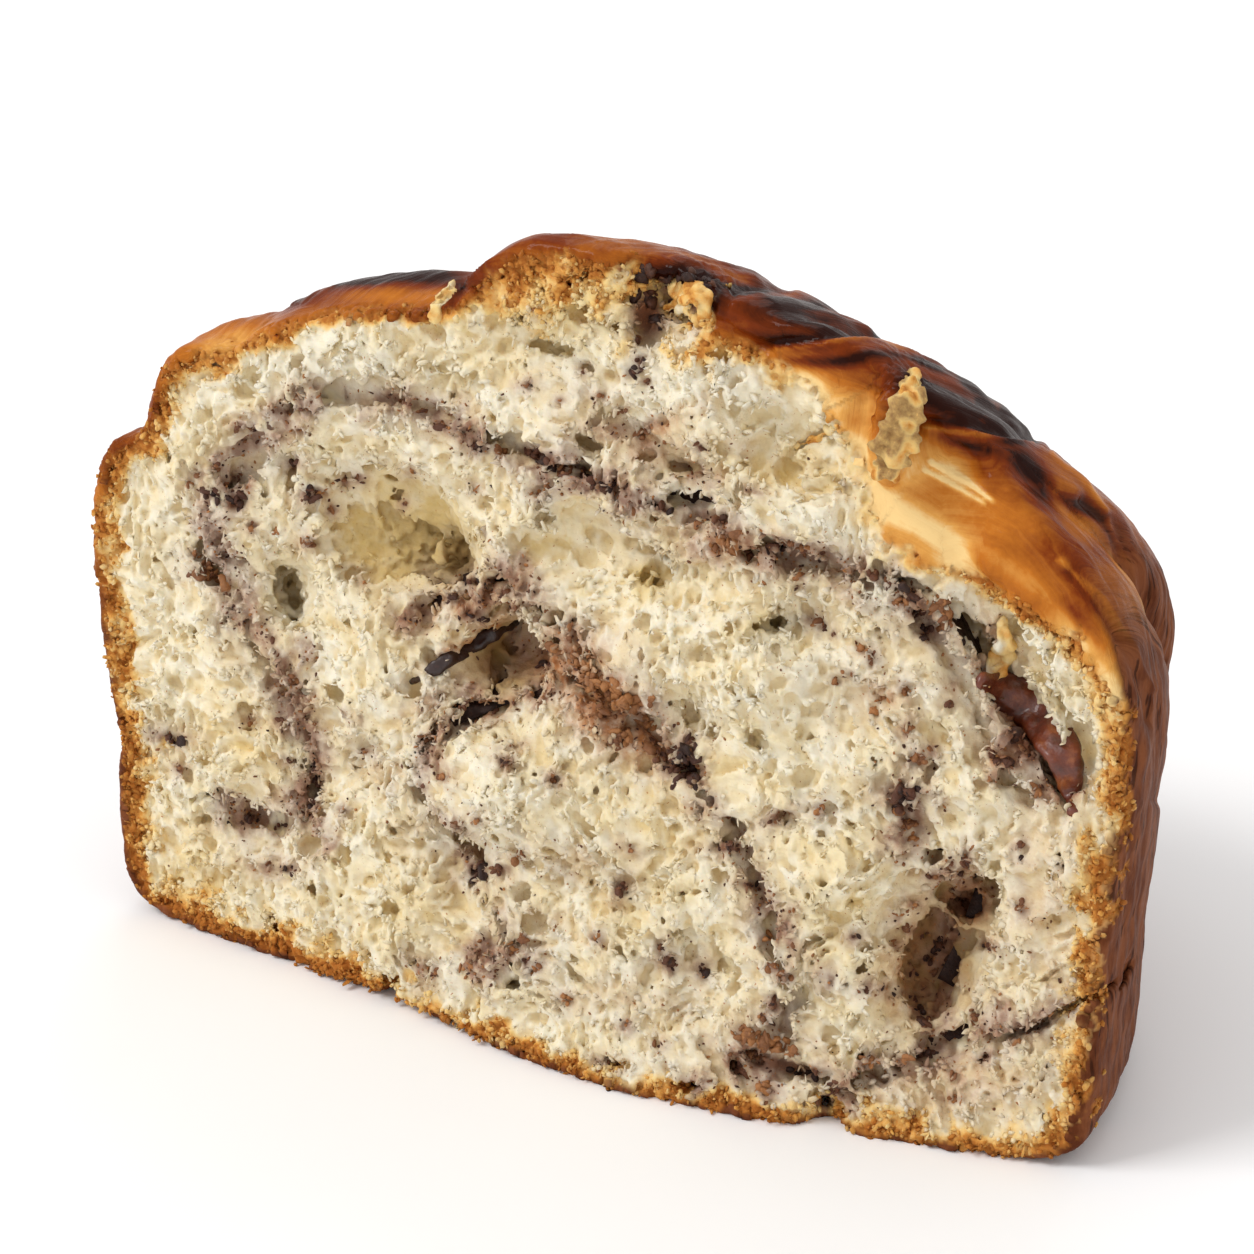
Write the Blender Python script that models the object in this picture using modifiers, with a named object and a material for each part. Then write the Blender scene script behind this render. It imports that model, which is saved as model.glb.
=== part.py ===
"""A torn end piece of a chocolate-swirl brioche loaf, standing on its base.

The torn face looks along -Y, the rounded heel of the loaf is at +Y and the base is flat at Z = 0.
The loaf was twisted from strands and baked in a tin about 12 cm wide. The dough is one solid, and the
bands of chocolate filling that show in the tear are separate sheets, which run back through the crumb.
Sizes here are in millimetres, measured from the middle of the tear, and become metres in the meshes.
"""

import math

import bmesh
import bpy
from mathutils import Vector, noise

MM = 0.001

# Cross-section of the loaf at the tear
CORE_HEIGHT = 38.0
BASE_HALF_WIDTH = 56.0
WALL_DRAFT = 0.04
LEFT_WALL_DRAFT = 0.066
DOME_HALF_WIDTH = 60.8
LEFT_DOME_HALF_WIDTH = 61.8
DOME_RISE = 42.0
LEFT_DOME_RISE = 39.2
LEFT_DOME_START = -19.0
LEFT_DOME_FADE = 11.0
CORNER_SHARPNESS = 18.0
FLATTER_SHOULDER_ANGLE = 36.0
FLATTER_SHOULDER_WIDTH = 18.0
FLATTER_SHOULDER_SHARE = 0.028

# Depth of the heel behind the tear, and the rounding where it meets the base
HEEL_DEPTH = 62.0
PLAN_ROUNDNESS = 1.85
PROFILE_ROUNDNESS = 1.64
HEEL_FOOT_ROUNDING = 7.0
WALL_TURN = math.radians(68.0)
FLAT_BASE_TOLERANCE = 0.04

# The tear: its foot bulges forward, and its crust edge is lifted off the table on the left
FOOT_BULGE = 9.4
FOOT_BULGE_X = 9.0
FOOT_BULGE_WIDTH = 38.0
FOOT_BULGE_HEIGHT = 72.0
LIFTED_EDGE_X = -19.0
LIFTED_EDGE_WIDTH = 9.0
LIFTED_EDGE_HEIGHT = 1.1
LIFTED_EDGE_DEPTH = 5.0

# The crust of the right-hand strand rolls back from this edge of the tear
SHOULDER_EDGE = ((15.0, 79.0), (24.9, 75.2), (28.5, 70.5), (32.5, 62.8), (37.4, 60.3), (45.5, 58.6),
                 (53.1, 54.9), (57.5, 48.5))
SHOULDER_ROUNDING = 12.5

# Density of the modelling cage and of the finished faceted solid
CAGE_CUTS = 62
LOAF_TRIANGLES = 6400

# Strands of the twisted crust: crest as angles round the core line and depths, half-width and rise
STRANDS = (
    (((133, -2), (128, 8), (116, 26), (94, 40), (55, 50)), 13.0, 2.6),
    (((94, -3), (88, 6), (78, 20), (60, 36), (39, 46)), 14.0, 4.1),
    (((72, -2), (64, 8), (54, 22), (40, 36), (29, 45)), 7.0, 3.2),
    (((58, -1), (51, 7), (42, 18), (32, 30), (24, 40)), 6.5, 3.8),
    (((48, 0), (41, 6), (33, 13), (24, 22), (14, 32)), 6.5, 3.8),
    (((47, -1), (35, 2), (21, 5), (8, 9), (-12, 13)), 9.0, 1.9),
    (((152, 2), (151, 16), (149, 34), (138, 50)), 12.0, 2.4),
    (((137, 14), (153, 24), (186, 34)), 9.0, 2.4),
    (((24, 38), (43, 52), (84, 58)), 10.0, 2.4),
)
STRAND_FADE_FROM = 18.0
STRAND_FADE_OVER = 24.0

# Dents of the crust near the tear, written as the strands are
DENTS = (
    (((143, -1), (131, -1), (121, -1)), 6.5, 3.6),
    (((158, -2), (158, 6)), 5.0, 5.4),
    (((197, 2), (197, 6)), 5.0, 1.2),
)
STRAND_STEPS = 5
PLAIN_FOOT = 12.0

# Hollows (+) and mounds (-) of the torn crumb: x, z, half-length, half-height, tilt in degrees, depth
TORN_FORMS = (
    (-20.0, 50.4, 10.2, 6.2, -12.0, 7.0),
    (-33.7, 41.6, 2.4, 4.0, 8.0, 4.0),
    (-8.8, 38.9, 5.6, 3.6, 24.0, 12.0),
    (2.0, 54.6, 5.6, 2.6, -28.0, 4.2),
    (9.4, 53.0, 4.4, 2.4, -20.0, 3.4),
    (6.7, 64.9, 6.6, 2.0, -22.0, 4.0),
    (23.4, 50.8, 5.2, 1.9, 14.0, 3.2),
    (28.8, 44.7, 3.6, 1.6, -18.0, 2.6),
    (13.9, 40.6, 2.8, 2.6, -40.0, 3.6),
    (39.6, 19.6, 4.6, 8.2, -14.0, 6.6),
    (42.2, 25.2, 2.6, 2.1, 10.0, 6.0),
    (47.2, 48.4, 10.6, 2.5, -56.0, 6.0),
    (30.0, 1.0, 2.0, 2.6, 0.0, 3.0),
    (-4.8, 73.0, 4.2, 2.0, -16.0, 2.4),
    (7.6, 80.4, 3.4, 3.0, -34.0, 3.4),
    (21.4, 69.6, 7.4, 1.5, -20.0, 3.0),
    (-31.6, 20.6, 2.2, 5.0, -10.0, 2.2),
    (-39.4, 14.4, 4.4, 1.9, -6.0, 2.0),
    (-10.8, 17.2, 3.6, 3.2, -30.0, 2.6),
    (16.0, 14.8, 2.6, 5.0, 8.0, 2.2),
    (-14.5, 66.2, 4.0, 1.8, -30.0, 2.4),
    (-11.0, 50.6, 8.4, 3.2, -34.0, -2.6),
    (17.4, 45.4, 9.0, 5.4, -14.0, -2.8),
    (-6.8, 28.8, 9.4, 6.6, 6.0, -3.0),
    (4.6, 40.6, 4.6, 4.4, -30.0, -1.6),
    (13.2, 73.0, 7.2, 4.4, -24.0, -3.0),
    (-41.0, 29.0, 6.0, 9.0, 0.0, -1.4),
    (-26.0, 10.4, 9.0, 7.0, -8.0, -1.6),
    (30.4, 27.0, 5.4, 9.0, 8.0, -1.6),
    (24.0, 62.2, 11.0, 3.0, -16.0, -2.2),
)
FORM_STEEPNESS = 5.0
CLUMP_SIZES = ((5.2, 0.75), (2.6, 0.4))

# Chocolate filling: the route of each sheet across the tear, and how far back it runs
FILLING_THICKNESS = 1.8
FILLING_GAP = 0.3
FILLING_FRONT = -20.0
FILLING_BACK = 38.0
FILLING_STEPS = 3
FILLINGS = {
    "chocolate_swirl_outer": ((-40.5, 13.9), (-32.7, 16.4), (-30.2, 23.9), (-34.3, 30.7), (-42.6, 41.0),
                              (-43.4, 47.0), (-36.3, 59.2), (-28.2, 64.0), (-20.1, 64.9), (-12.0, 63.1),
                              (4.8, 60.6), (13.4, 59.9), (23.9, 57.4), (31.0, 56.4), (37.0, 52.6),
                              (41.0, 46.2), (44.2, 40.4), (49.0, 36.6)),
    "chocolate_swirl_core": ((-19.1, 42.8), (-11.9, 46.6), (-6.6, 48.6), (-3.2, 44.2), (1.4, 40.2),
                             (8.1, 38.0), (17.1, 30.9), (22.6, 21.9), (25.0, 14.6), (24.6, 8.4)),
    "chocolate_swirl_left": ((-5.2, 36.2), (-10.8, 34.4), (-17.3, 29.4), (-15.2, 23.4), (-7.5, 14.8),
                             (-4.7, 10.4), (-5.6, 5.6)),
    "chocolate_swirl_right": ((35.4, 36.4), (37.5, 30.3), (40.6, 25.6), (39.6, 18.9), (37.8, 13.2)),
    "chocolate_swirl_base": ((17.4, 3.4), (21.6, 5.2), (26.8, 5.0), (31.4, 4.8), (38.4, 8.4), (45.0, 12.0)),
}
FILLING_CURVE_STEPS = 2

# Crack through the crust low on the right, a flake that stands on the top crust, a curled crust tongue
CRACK_START = (47.2, 12.6)
CRACK_END = (62.0, 22.8)
CRACK_WIDTH = 0.8
CRACK_FRONT = -6.0
CRACK_BACK = 9.0
FLAKE_FOOT = (31.6, -0.6, 66.5)
FLAKE_TIP = (33.4, -0.4, 77.0)
FLAKE_HALF_WIDTH = 1.9
FLAKE_HALF_DEPTH = 0.75
TONGUE_START = (44.6, 2.6, 49.6)
TONGUE_END = (51.2, 1.6, 40.4)
TONGUE_HALF_WIDTH = 1.9


def remove_everything():
    for old in list(bpy.data.objects):
        bpy.data.objects.remove(old, do_unlink=True)


def collection(name, hidden=False):
    made = bpy.data.collections.new(name)
    bpy.context.scene.collection.children.link(made)
    made.hide_render = hidden
    return made


def finish(name, colour, roughness):
    material = bpy.data.materials.new(name)
    material.use_nodes = True
    shader = material.node_tree.nodes["Principled BSDF"]
    shader.inputs["Base Color"].default_value = (*colour, 1.0)
    shader.inputs["Roughness"].default_value = roughness
    material.diffuse_color = (*colour, 1.0)
    return material


def piece(name, mesh, home):
    obj = bpy.data.objects.new(name, mesh)
    home.objects.link(obj)
    return obj


def guide(name, mesh, home):
    obj = piece(name, mesh, home)
    obj.hide_render = True
    obj.display_type = "WIRE"
    return obj


def evaluated_mesh(obj, name):
    """The object's mesh with its modifiers applied, as a mesh of its own."""
    graph = bpy.context.evaluated_depsgraph_get()
    made = bpy.data.meshes.new_from_object(obj.evaluated_get(graph))
    made.name = name
    return made


def boolean(obj, operation, other):
    modifier = obj.modifiers.new(f"{operation.lower()} {other.name}", "BOOLEAN")
    modifier.operation = operation
    modifier.solver = "EXACT"
    modifier.object = other


def clamp(value):
    return max(0.0, min(1.0, value))


def bell(distance, width):
    return math.exp(-((distance / width) ** 2))


def nearest_on_route(point, route):
    """Distance from a point to a route of straight runs, and the run and place on it that are nearest."""
    best = None
    for index in range(len(route) - 1):
        start = route[index]
        run = route[index + 1] - start
        along = clamp((point - start).dot(run) / run.length_squared)
        distance = (point - start - run * along).length
        if best is None or distance < best[0]:
            best = (distance, index, along)
    return best


def smooth_route(points, steps):
    """A Catmull-Rom curve through the points, with this many steps between two of them."""
    points = [Vector(p) for p in points]
    ends = [2 * points[0] - points[1]] + points + [2 * points[-1] - points[-2]]
    route = []
    for i in range(1, len(ends) - 2):
        a, b, c, d = ends[i - 1 : i + 3]
        for step in range(steps):
            t = step / steps
            route.append(0.5 * (2 * b + (c - a) * t + (2 * a - 5 * b + 4 * c - d) * t * t
                                + (3 * b - a - 3 * c + d) * t ** 3))
    return route + [points[-1]]


SHOULDER_ROUTE = tuple(Vector(corner) for corner in SHOULDER_EDGE)


def outline_radius(angle):
    """Distance from the loaf's core line to its plain skin at the tear: base, tin walls and dome."""
    across, upward = math.cos(angle), math.sin(angle)
    reach = []
    if upward > 0:
        x = DOME_HALF_WIDTH * across
        right_share = clamp((x - LEFT_DOME_START) / LEFT_DOME_FADE)
        right_share *= right_share * (3 - 2 * right_share)
        rise = LEFT_DOME_RISE + (DOME_RISE - LEFT_DOME_RISE) * right_share
        half_width = DOME_HALF_WIDTH if across > 0 else LEFT_DOME_HALF_WIDTH
        off_shoulder = math.degrees(angle) - FLATTER_SHOULDER_ANGLE
        flatter = FLATTER_SHOULDER_SHARE * bell(off_shoulder, FLATTER_SHOULDER_WIDTH)
        reach.append((1 - flatter) / math.hypot(across / half_width, upward / rise))
    else:
        reach.append(DOME_HALF_WIDTH / max(abs(across), 0.05))
        reach.append(CORE_HEIGHT / max(-upward, 0.05))
    for side, draft in ((1, WALL_DRAFT), (-1, LEFT_WALL_DRAFT)):
        facing = side * across - draft * upward
        if facing > 0.05:
            reach.append((BASE_HALF_WIDTH + draft * CORE_HEIGHT) / facing)
    return sum(r ** -CORNER_SHARPNESS for r in reach) ** (-1 / CORNER_SHARPNESS)


def taper(depth, roundness):
    """How much of the cross-section is left at a depth behind the tear."""
    inner = 1 - clamp(depth / HEEL_DEPTH) ** roundness
    return max(0.0, inner) ** (1 / roundness)


def plain_skin_point(angle, depth):
    """A point of the skin without its strands: direction round the core line and depth behind the tear."""
    radius = outline_radius(angle)
    x = radius * math.cos(angle) * taper(depth, PLAN_ROUNDNESS)
    z = (CORE_HEIGHT + radius * math.sin(angle)) * taper(depth, PROFILE_ROUNDNESS)
    return Vector((x, depth, z))


def skin_routes(forms):
    """The crests of strands or dents as smooth lines on the plain skin."""
    made = []
    for stations, width, rise in forms:
        crest = [plain_skin_point(math.radians(angle), depth) for angle, depth in stations]
        made.append((smooth_route(crest, STRAND_STEPS), width, rise))
    return made


STRAND_ROUTES = skin_routes(STRANDS)
DENT_ROUTES = skin_routes(DENTS)


def strand_rise(point):
    """Height of the twisted strands over the plain skin, less the dents beside the tear."""
    rise = 0.0
    for route, width, height in STRAND_ROUTES:
        distance = nearest_on_route(point, route)[0]
        if distance < width:
            rise = max(rise, height * math.sqrt(1 - (distance / width) ** 2))
    rise *= clamp((point.z - STRAND_FADE_FROM) / STRAND_FADE_OVER)
    for route, width, depth in DENT_ROUTES:
        rise -= depth * bell(nearest_on_route(point, route)[0], width)
    return rise


def skin_point(angle, depth):
    """A point of the crust with its strands, rounded where the heel meets the base."""
    point = plain_skin_point(angle, depth)
    x, z = point.x, point.z
    outward = Vector((x / DOME_HALF_WIDTH ** 2, max(depth, 0) / HEEL_DEPTH ** 2,
                      (z - PLAIN_FOOT) / CORE_HEIGHT ** 2))
    if z > PLAIN_FOOT and outward.length > 0:
        point += outward.normalized() * strand_rise(point)
    if point.z < HEEL_FOOT_ROUNDING and depth > 0:
        short = HEEL_FOOT_ROUNDING - max(point.z, 0.0)
        inset = HEEL_FOOT_ROUNDING - math.sqrt(HEEL_FOOT_ROUNDING ** 2 - short ** 2)
        point.y -= inset * (depth / HEEL_DEPTH) ** 2
    return point


def shoulder_lean(x, z):
    """How far the surface rolls back beyond the edge of the tear, on the right-hand strands."""
    here = Vector((x, z))
    distance, index, along = nearest_on_route(here, SHOULDER_ROUTE)
    start, end = SHOULDER_ROUTE[index], SHOULDER_ROUTE[index + 1]
    run = end - start
    outside = (here - start).x * run.y - (here - start).y * run.x < 0
    if not outside or (index == 0 and along == 0):
        return 0.0
    reach = min(distance, SHOULDER_ROUNDING * 0.98)
    return SHOULDER_ROUNDING - math.sqrt(SHOULDER_ROUNDING ** 2 - reach ** 2)


def torn_depth(x, z):
    """Depth of the torn face at a place across and up the tear, forward being negative."""
    depth = -FOOT_BULGE * bell(x - FOOT_BULGE_X, FOOT_BULGE_WIDTH) * clamp(1 - z / FOOT_BULGE_HEIGHT)
    depth += shoulder_lean(x, z)
    for form_x, form_z, half_length, half_height, tilt, rise in TORN_FORMS:
        turn = math.radians(tilt)
        along = (x - form_x) * math.cos(turn) + (z - form_z) * math.sin(turn)
        across = (z - form_z) * math.cos(turn) - (x - form_x) * math.sin(turn)
        reach = math.hypot(along / half_length, across / half_height)
        depth += rise / (1 + reach ** FORM_STEEPNESS)
    return depth


def clumps(x, z):
    """Lumps of torn crumb."""
    return sum(noise.noise(Vector((x / size, 3.7, z / size))) * rise for size, rise in CLUMP_SIZES)


def loaf_point(cage):
    """Where a point of the unit cage lies on the loaf, in millimetres."""
    across, along, upward = cage
    share = max(abs(across), abs(upward))
    angle = math.atan2(upward, across)
    at_tear = along < -1 + 1e-6
    radius = outline_radius(angle)
    rim = Vector((radius * math.cos(angle), CORE_HEIGHT + radius * math.sin(angle)))
    rim_depth = torn_depth(*rim)
    rim_point = skin_point(angle, rim_depth)
    if at_tear:
        x = rim_point.x * share
        z = CORE_HEIGHT + (rim_point.z - CORE_HEIGHT) * share
        inner = clamp((1 - share) / 0.06)
        point = Vector((x, torn_depth(x, z) * inner + rim_point.y * (1 - inner) + clumps(x, z) * inner, z))
    elif share > 1 - 1e-6:
        start_turn = math.asin(clamp(rim_depth / HEEL_DEPTH)) if rim_depth > 0 else 0.0
        progress = (along + 1) / 2
        progress = progress * (0.55 + 0.45 * progress)
        turn = start_turn + (WALL_TURN - start_turn) * progress
        depth = HEEL_DEPTH * math.sin(turn) + min(rim_depth, 0.0) * (1 - progress) ** 2
        point = skin_point(angle, depth)
    else:
        turn = math.pi / 2 - (math.pi / 2 - WALL_TURN) * share
        point = skin_point(angle, HEEL_DEPTH * math.sin(turn))
    lift = LIFTED_EDGE_HEIGHT * bell(point.x - LIFTED_EDGE_X, LIFTED_EDGE_WIDTH)
    lift *= bell(max(point.y - rim_depth, 0.0), LIFTED_EDGE_DEPTH) * clamp(1 - point.z / 12)
    point.z += lift
    if point.z < FLAT_BASE_TOLERANCE:
        point.z = 0.0
    return point


def loaf_mesh(home, crust, crumb):
    """The whole loaf piece before the filling is let in, thinned to its final facets."""
    shape = bmesh.new()
    bmesh.ops.create_cube(shape, size=2.0)
    bmesh.ops.subdivide_edges(shape, edges=shape.edges[:], cuts=CAGE_CUTS, use_grid_fill=True)
    torn = set()
    for face in shape.faces:
        if all(v.co.y < -1 + 1e-6 for v in face.verts):
            torn.add(face.index)
            face.material_index = 1
    for vertex in shape.verts:
        vertex.co = loaf_point(vertex.co) * MM
    bmesh.ops.recalc_face_normals(shape, faces=shape.faces[:])
    bmesh.ops.triangulate(shape, faces=shape.faces[:])
    triangles = len(shape.faces)
    mesh = bpy.data.meshes.new("loaf cage")
    shape.to_mesh(mesh)
    shape.free()
    mesh.materials.append(crust)
    mesh.materials.append(crumb)
    cage = guide("loaf_cage", mesh, home)
    thinning = cage.modifiers.new("thinning", "DECIMATE")
    thinning.ratio = LOAF_TRIANGLES / triangles
    bpy.context.view_layer.update()
    thinned = evaluated_mesh(cage, "loaf")
    for vertex in thinned.vertices:
        if vertex.co.z < FLAT_BASE_TOLERANCE * MM:
            vertex.co.z = 0.0
    bpy.data.objects.remove(cage, do_unlink=True)
    return thinned


def filling_sheet(name, points, thickness, margin, home):
    """A sheet that follows a route across the tear and narrows with the loaf towards the heel."""
    route = smooth_route(points, FILLING_CURVE_STEPS)
    route[0] += (route[0] - route[1]).normalized() * margin
    route[-1] += (route[-1] - route[-2]).normalized() * margin
    shape = bmesh.new()
    corners = [shape.verts.new((place.x, FILLING_FRONT, place.y)) for place in route]
    edges = [shape.edges.new(pair) for pair in zip(corners, corners[1:])]
    depths = [FILLING_BACK * step / FILLING_STEPS for step in range(FILLING_STEPS)]
    for depth in depths + [FILLING_BACK + margin]:
        grown = bmesh.ops.extrude_edge_only(shape, edges=edges)["geom"]
        edges = [item for item in grown if isinstance(item, bmesh.types.BMEdge)]
        for corner in [item for item in grown if isinstance(item, bmesh.types.BMVert)]:
            corner.co.y = depth
    for corner in shape.verts:
        depth = corner.co.y
        corner.co.x *= taper(depth, PLAN_ROUNDNESS)
        corner.co.z *= taper(depth, PROFILE_ROUNDNESS)
        corner.co *= MM
    bmesh.ops.recalc_face_normals(shape, faces=shape.faces[:])
    mesh = bpy.data.meshes.new(name)
    shape.to_mesh(mesh)
    shape.free()
    sheet = guide(name, mesh, home)
    wall = sheet.modifiers.new("thickness", "SOLIDIFY")
    wall.thickness = thickness * MM
    wall.offset = 0.0
    wall.use_even_offset = True
    return sheet


def bar_along(name, start, end, half_width, half_depth, home, twist=0.0, rounds=0):
    """A bar from start to end, half_depth measured along Y, optionally twisted and rounded off."""
    start, end = Vector(start), Vector(end)
    shape = bmesh.new()
    bmesh.ops.create_cube(shape, size=2.0)
    bmesh.ops.subdivide_edges(shape, edges=shape.edges[:], cuts=rounds, use_grid_fill=True)
    side = (end - start).cross(Vector((0, 1, 0))).normalized()
    forward = (end - start).cross(side).normalized()
    for corner in shape.verts:
        local = corner.co.copy()
        if rounds:
            local = local.normalized() * (0.6 + 0.4 * local.length)
        turn = twist * local.z
        a = local.x * half_width
        b = local.y * half_depth
        across = side * (a * math.cos(turn) - b * math.sin(turn))
        through = forward * (a * math.sin(turn) + b * math.cos(turn))
        corner.co = ((start + end) / 2 + (end - start) / 2 * local.z + across + through) * MM
    bmesh.ops.recalc_face_normals(shape, faces=shape.faces[:])
    mesh = bpy.data.meshes.new(name)
    shape.to_mesh(mesh)
    shape.free()
    return guide(name, mesh, home)


def crack_cutter(home):
    """A thin wedge through the crust low on the right-hand wall."""
    start, end = Vector(CRACK_START), Vector(CRACK_END)
    middle = (CRACK_FRONT + CRACK_BACK) / 2
    return bar_along("crack", (start.x, middle, start.y), (end.x, middle, end.y), CRACK_WIDTH / 2,
                     (CRACK_BACK - CRACK_FRONT) / 2, home)


def centre_over_base(objects, loaf):
    """Moves everything so that the origin is on the base, under the middle of the piece."""
    corners = [vertex.co for vertex in loaf.data.vertices]
    shift = Vector((0.0, 0.0, 0.0))
    for axis in (0, 1):
        places = [corner[axis] for corner in corners]
        shift[axis] = -(min(places) + max(places)) / 2
    for mesh in {obj.data for obj in objects}:
        for vertex in mesh.vertices:
            vertex.co += shift
    print("origin moved by", [round(value / MM, 3) for value in shift], "mm")


def main():
    remove_everything()
    parts = collection("brioche")
    guides = collection("cutters", hidden=True)
    crust = finish("baked crust", (0.52, 0.25, 0.07), 0.35)
    crumb = finish("torn crumb", (0.87, 0.80, 0.62), 0.85)
    chocolate = finish("chocolate filling", (0.075, 0.035, 0.025), 0.55)

    loaf = loaf_mesh(guides, crust, crumb)
    whole = guide("whole_loaf", loaf, guides)
    brioche = piece("brioche", loaf.copy(), parts)

    flake = bar_along("standing_flake", FLAKE_FOOT, FLAKE_TIP, FLAKE_HALF_WIDTH, FLAKE_HALF_DEPTH,
                      guides, twist=0.3, rounds=2)
    tongue = bar_along("crust_tongue", TONGUE_START, TONGUE_END, TONGUE_HALF_WIDTH, TONGUE_HALF_WIDTH,
                       guides, rounds=3)
    crack = crack_cutter(guides)
    slots = []
    fillings = []
    for name, points in FILLINGS.items():
        slots.append(filling_sheet(f"slot_{name}", points, FILLING_THICKNESS + 2 * FILLING_GAP, FILLING_GAP,
                                   guides))
        fillings.append(filling_sheet(name, points, FILLING_THICKNESS, 0.0, guides))

    centre_over_base([whole, brioche, flake, tongue, crack] + slots + fillings, whole)
    boolean(brioche, "UNION", flake)
    boolean(brioche, "UNION", tongue)
    for cutter in slots + [crack]:
        boolean(brioche, "DIFFERENCE", cutter)
    for filling in fillings:
        guides.objects.unlink(filling)
        parts.objects.link(filling)
        filling.hide_render = False
        filling.display_type = "TEXTURED"
        filling.data.materials.append(chocolate)
        boolean(filling, "INTERSECT", whole)


main()
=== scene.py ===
import math
import random

import bmesh
import bpy
import numpy as np
import openvdb
from mathutils import Matrix, Vector
from mathutils.bvhtree import BVHTree


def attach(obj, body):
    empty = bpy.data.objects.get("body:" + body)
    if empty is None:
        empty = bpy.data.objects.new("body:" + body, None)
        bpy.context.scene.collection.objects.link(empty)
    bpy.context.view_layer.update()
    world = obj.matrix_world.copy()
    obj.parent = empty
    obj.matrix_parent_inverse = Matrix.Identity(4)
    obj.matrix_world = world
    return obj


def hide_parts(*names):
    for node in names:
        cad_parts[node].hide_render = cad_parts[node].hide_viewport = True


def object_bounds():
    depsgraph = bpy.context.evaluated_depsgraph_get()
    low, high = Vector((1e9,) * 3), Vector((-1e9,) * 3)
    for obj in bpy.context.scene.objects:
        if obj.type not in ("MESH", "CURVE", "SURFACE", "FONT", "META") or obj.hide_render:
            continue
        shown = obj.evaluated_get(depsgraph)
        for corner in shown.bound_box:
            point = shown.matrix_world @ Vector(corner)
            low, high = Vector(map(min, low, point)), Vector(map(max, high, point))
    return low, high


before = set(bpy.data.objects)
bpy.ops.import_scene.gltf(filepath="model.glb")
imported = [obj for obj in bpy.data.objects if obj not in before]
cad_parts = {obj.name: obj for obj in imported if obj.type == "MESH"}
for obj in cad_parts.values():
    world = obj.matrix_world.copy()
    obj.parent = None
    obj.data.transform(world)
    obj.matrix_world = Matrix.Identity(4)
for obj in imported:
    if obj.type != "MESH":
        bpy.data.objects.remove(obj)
CAD_LOW, CAD_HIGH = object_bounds()
MM = 0.001
rng = np.random.default_rng(27)
dice = random.Random(27)
print("solid box in mm:", [round(v / MM, 1) for v in (*CAD_LOW, *CAD_HIGH)])

# %% [markdown]
# The camera comes next, since several details are placed where the picture shows them. It stands in front
# of the tear, turned to the right and raised, and a long lens keeps the loaf's lines nearly parallel.
# Lengths here are in millimetres, and pixels are those of a square picture 1254 across.
# %% Camera
PICTURE_SIZE = 1254
SENSOR_WIDTH = 36.0
FOCAL_PIXELS = 4537.79
CAMERA_TURN = math.radians(28)
CAMERA_RAISE = math.radians(25)
CAMERA_DISTANCE = 440.0
TEAR_Y = -25.971
LOOK_AT = np.array([4.904, TEAR_Y, 45.96])

toward_camera = np.array([math.sin(CAMERA_TURN) * math.cos(CAMERA_RAISE),
                          -math.cos(CAMERA_TURN) * math.cos(CAMERA_RAISE), math.sin(CAMERA_RAISE)])
camera_right = np.array([math.cos(CAMERA_TURN), math.sin(CAMERA_TURN), 0.0])
camera_up = np.cross(toward_camera, camera_right)
camera_place = LOOK_AT + CAMERA_DISTANCE * toward_camera

camera = bpy.data.objects.new("camera", bpy.data.cameras.new("camera"))
camera.data.sensor_width = SENSOR_WIDTH
camera.data.lens = FOCAL_PIXELS / PICTURE_SIZE * SENSOR_WIDTH
camera.data.clip_start, camera.data.clip_end = 0.01, 10.0
camera.matrix_world = (Matrix.Translation(Vector(camera_place) * MM)
                       @ Matrix((camera_right, camera_up, toward_camera)).transposed().to_4x4())
bpy.context.scene.collection.objects.link(camera)
bpy.context.scene.camera = camera


def picture_place(points):
    """Where points in millimetres fall in the picture, as columns of x and y pixels."""
    away = points - camera_place
    depth = -(away @ toward_camera)
    x = PICTURE_SIZE / 2 + FOCAL_PIXELS * (away @ camera_right) / depth
    y = PICTURE_SIZE / 2 - FOCAL_PIXELS * (away @ camera_up) / depth
    return x, y


def sight_line(x, y):
    """Direction from the camera through a pixel."""
    half = PICTURE_SIZE / 2
    line = (-toward_camera * FOCAL_PIXELS + camera_right * (x - half) - camera_up * (y - half))
    return Vector(line / np.linalg.norm(line))


print("lens in mm:", round(camera.data.lens, 2))

# %% [markdown]
# The dough is one body in which the sheets of filling lie. Their slots are a hair wider than they are, so
# copies of the sheets are swollen a little and everything is remeshed to one closed skin. The flat facets
# of the solid are then smoothed away, as baked dough has none.
# %% One closed body of dough
SWIRLS = [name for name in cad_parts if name.startswith("chocolate_swirl")]
SWIRL_SWELL = 0.4
BODY_VOXEL = 0.55


def merged_copy(node, swell=0.0):
    shape = bmesh.new()
    shape.from_mesh(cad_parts[node].data)
    bmesh.ops.remove_doubles(shape, verts=shape.verts, dist=1e-6)
    shape.normal_update()
    for vert in shape.verts:
        vert.co += vert.normal * swell * MM
    return shape


def as_object(name, shape):
    mesh = bpy.data.meshes.new(name)
    shape.to_mesh(mesh)
    shape.free()
    obj = bpy.data.objects.new(name, mesh)
    bpy.context.scene.collection.objects.link(obj)
    return obj


def taken_mesh(obj):
    """The evaluated mesh of an object, which is then removed."""
    graph = bpy.context.evaluated_depsgraph_get()
    mesh = bpy.data.meshes.new_from_object(obj.evaluated_get(graph))
    bpy.data.objects.remove(obj)
    return mesh


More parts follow.
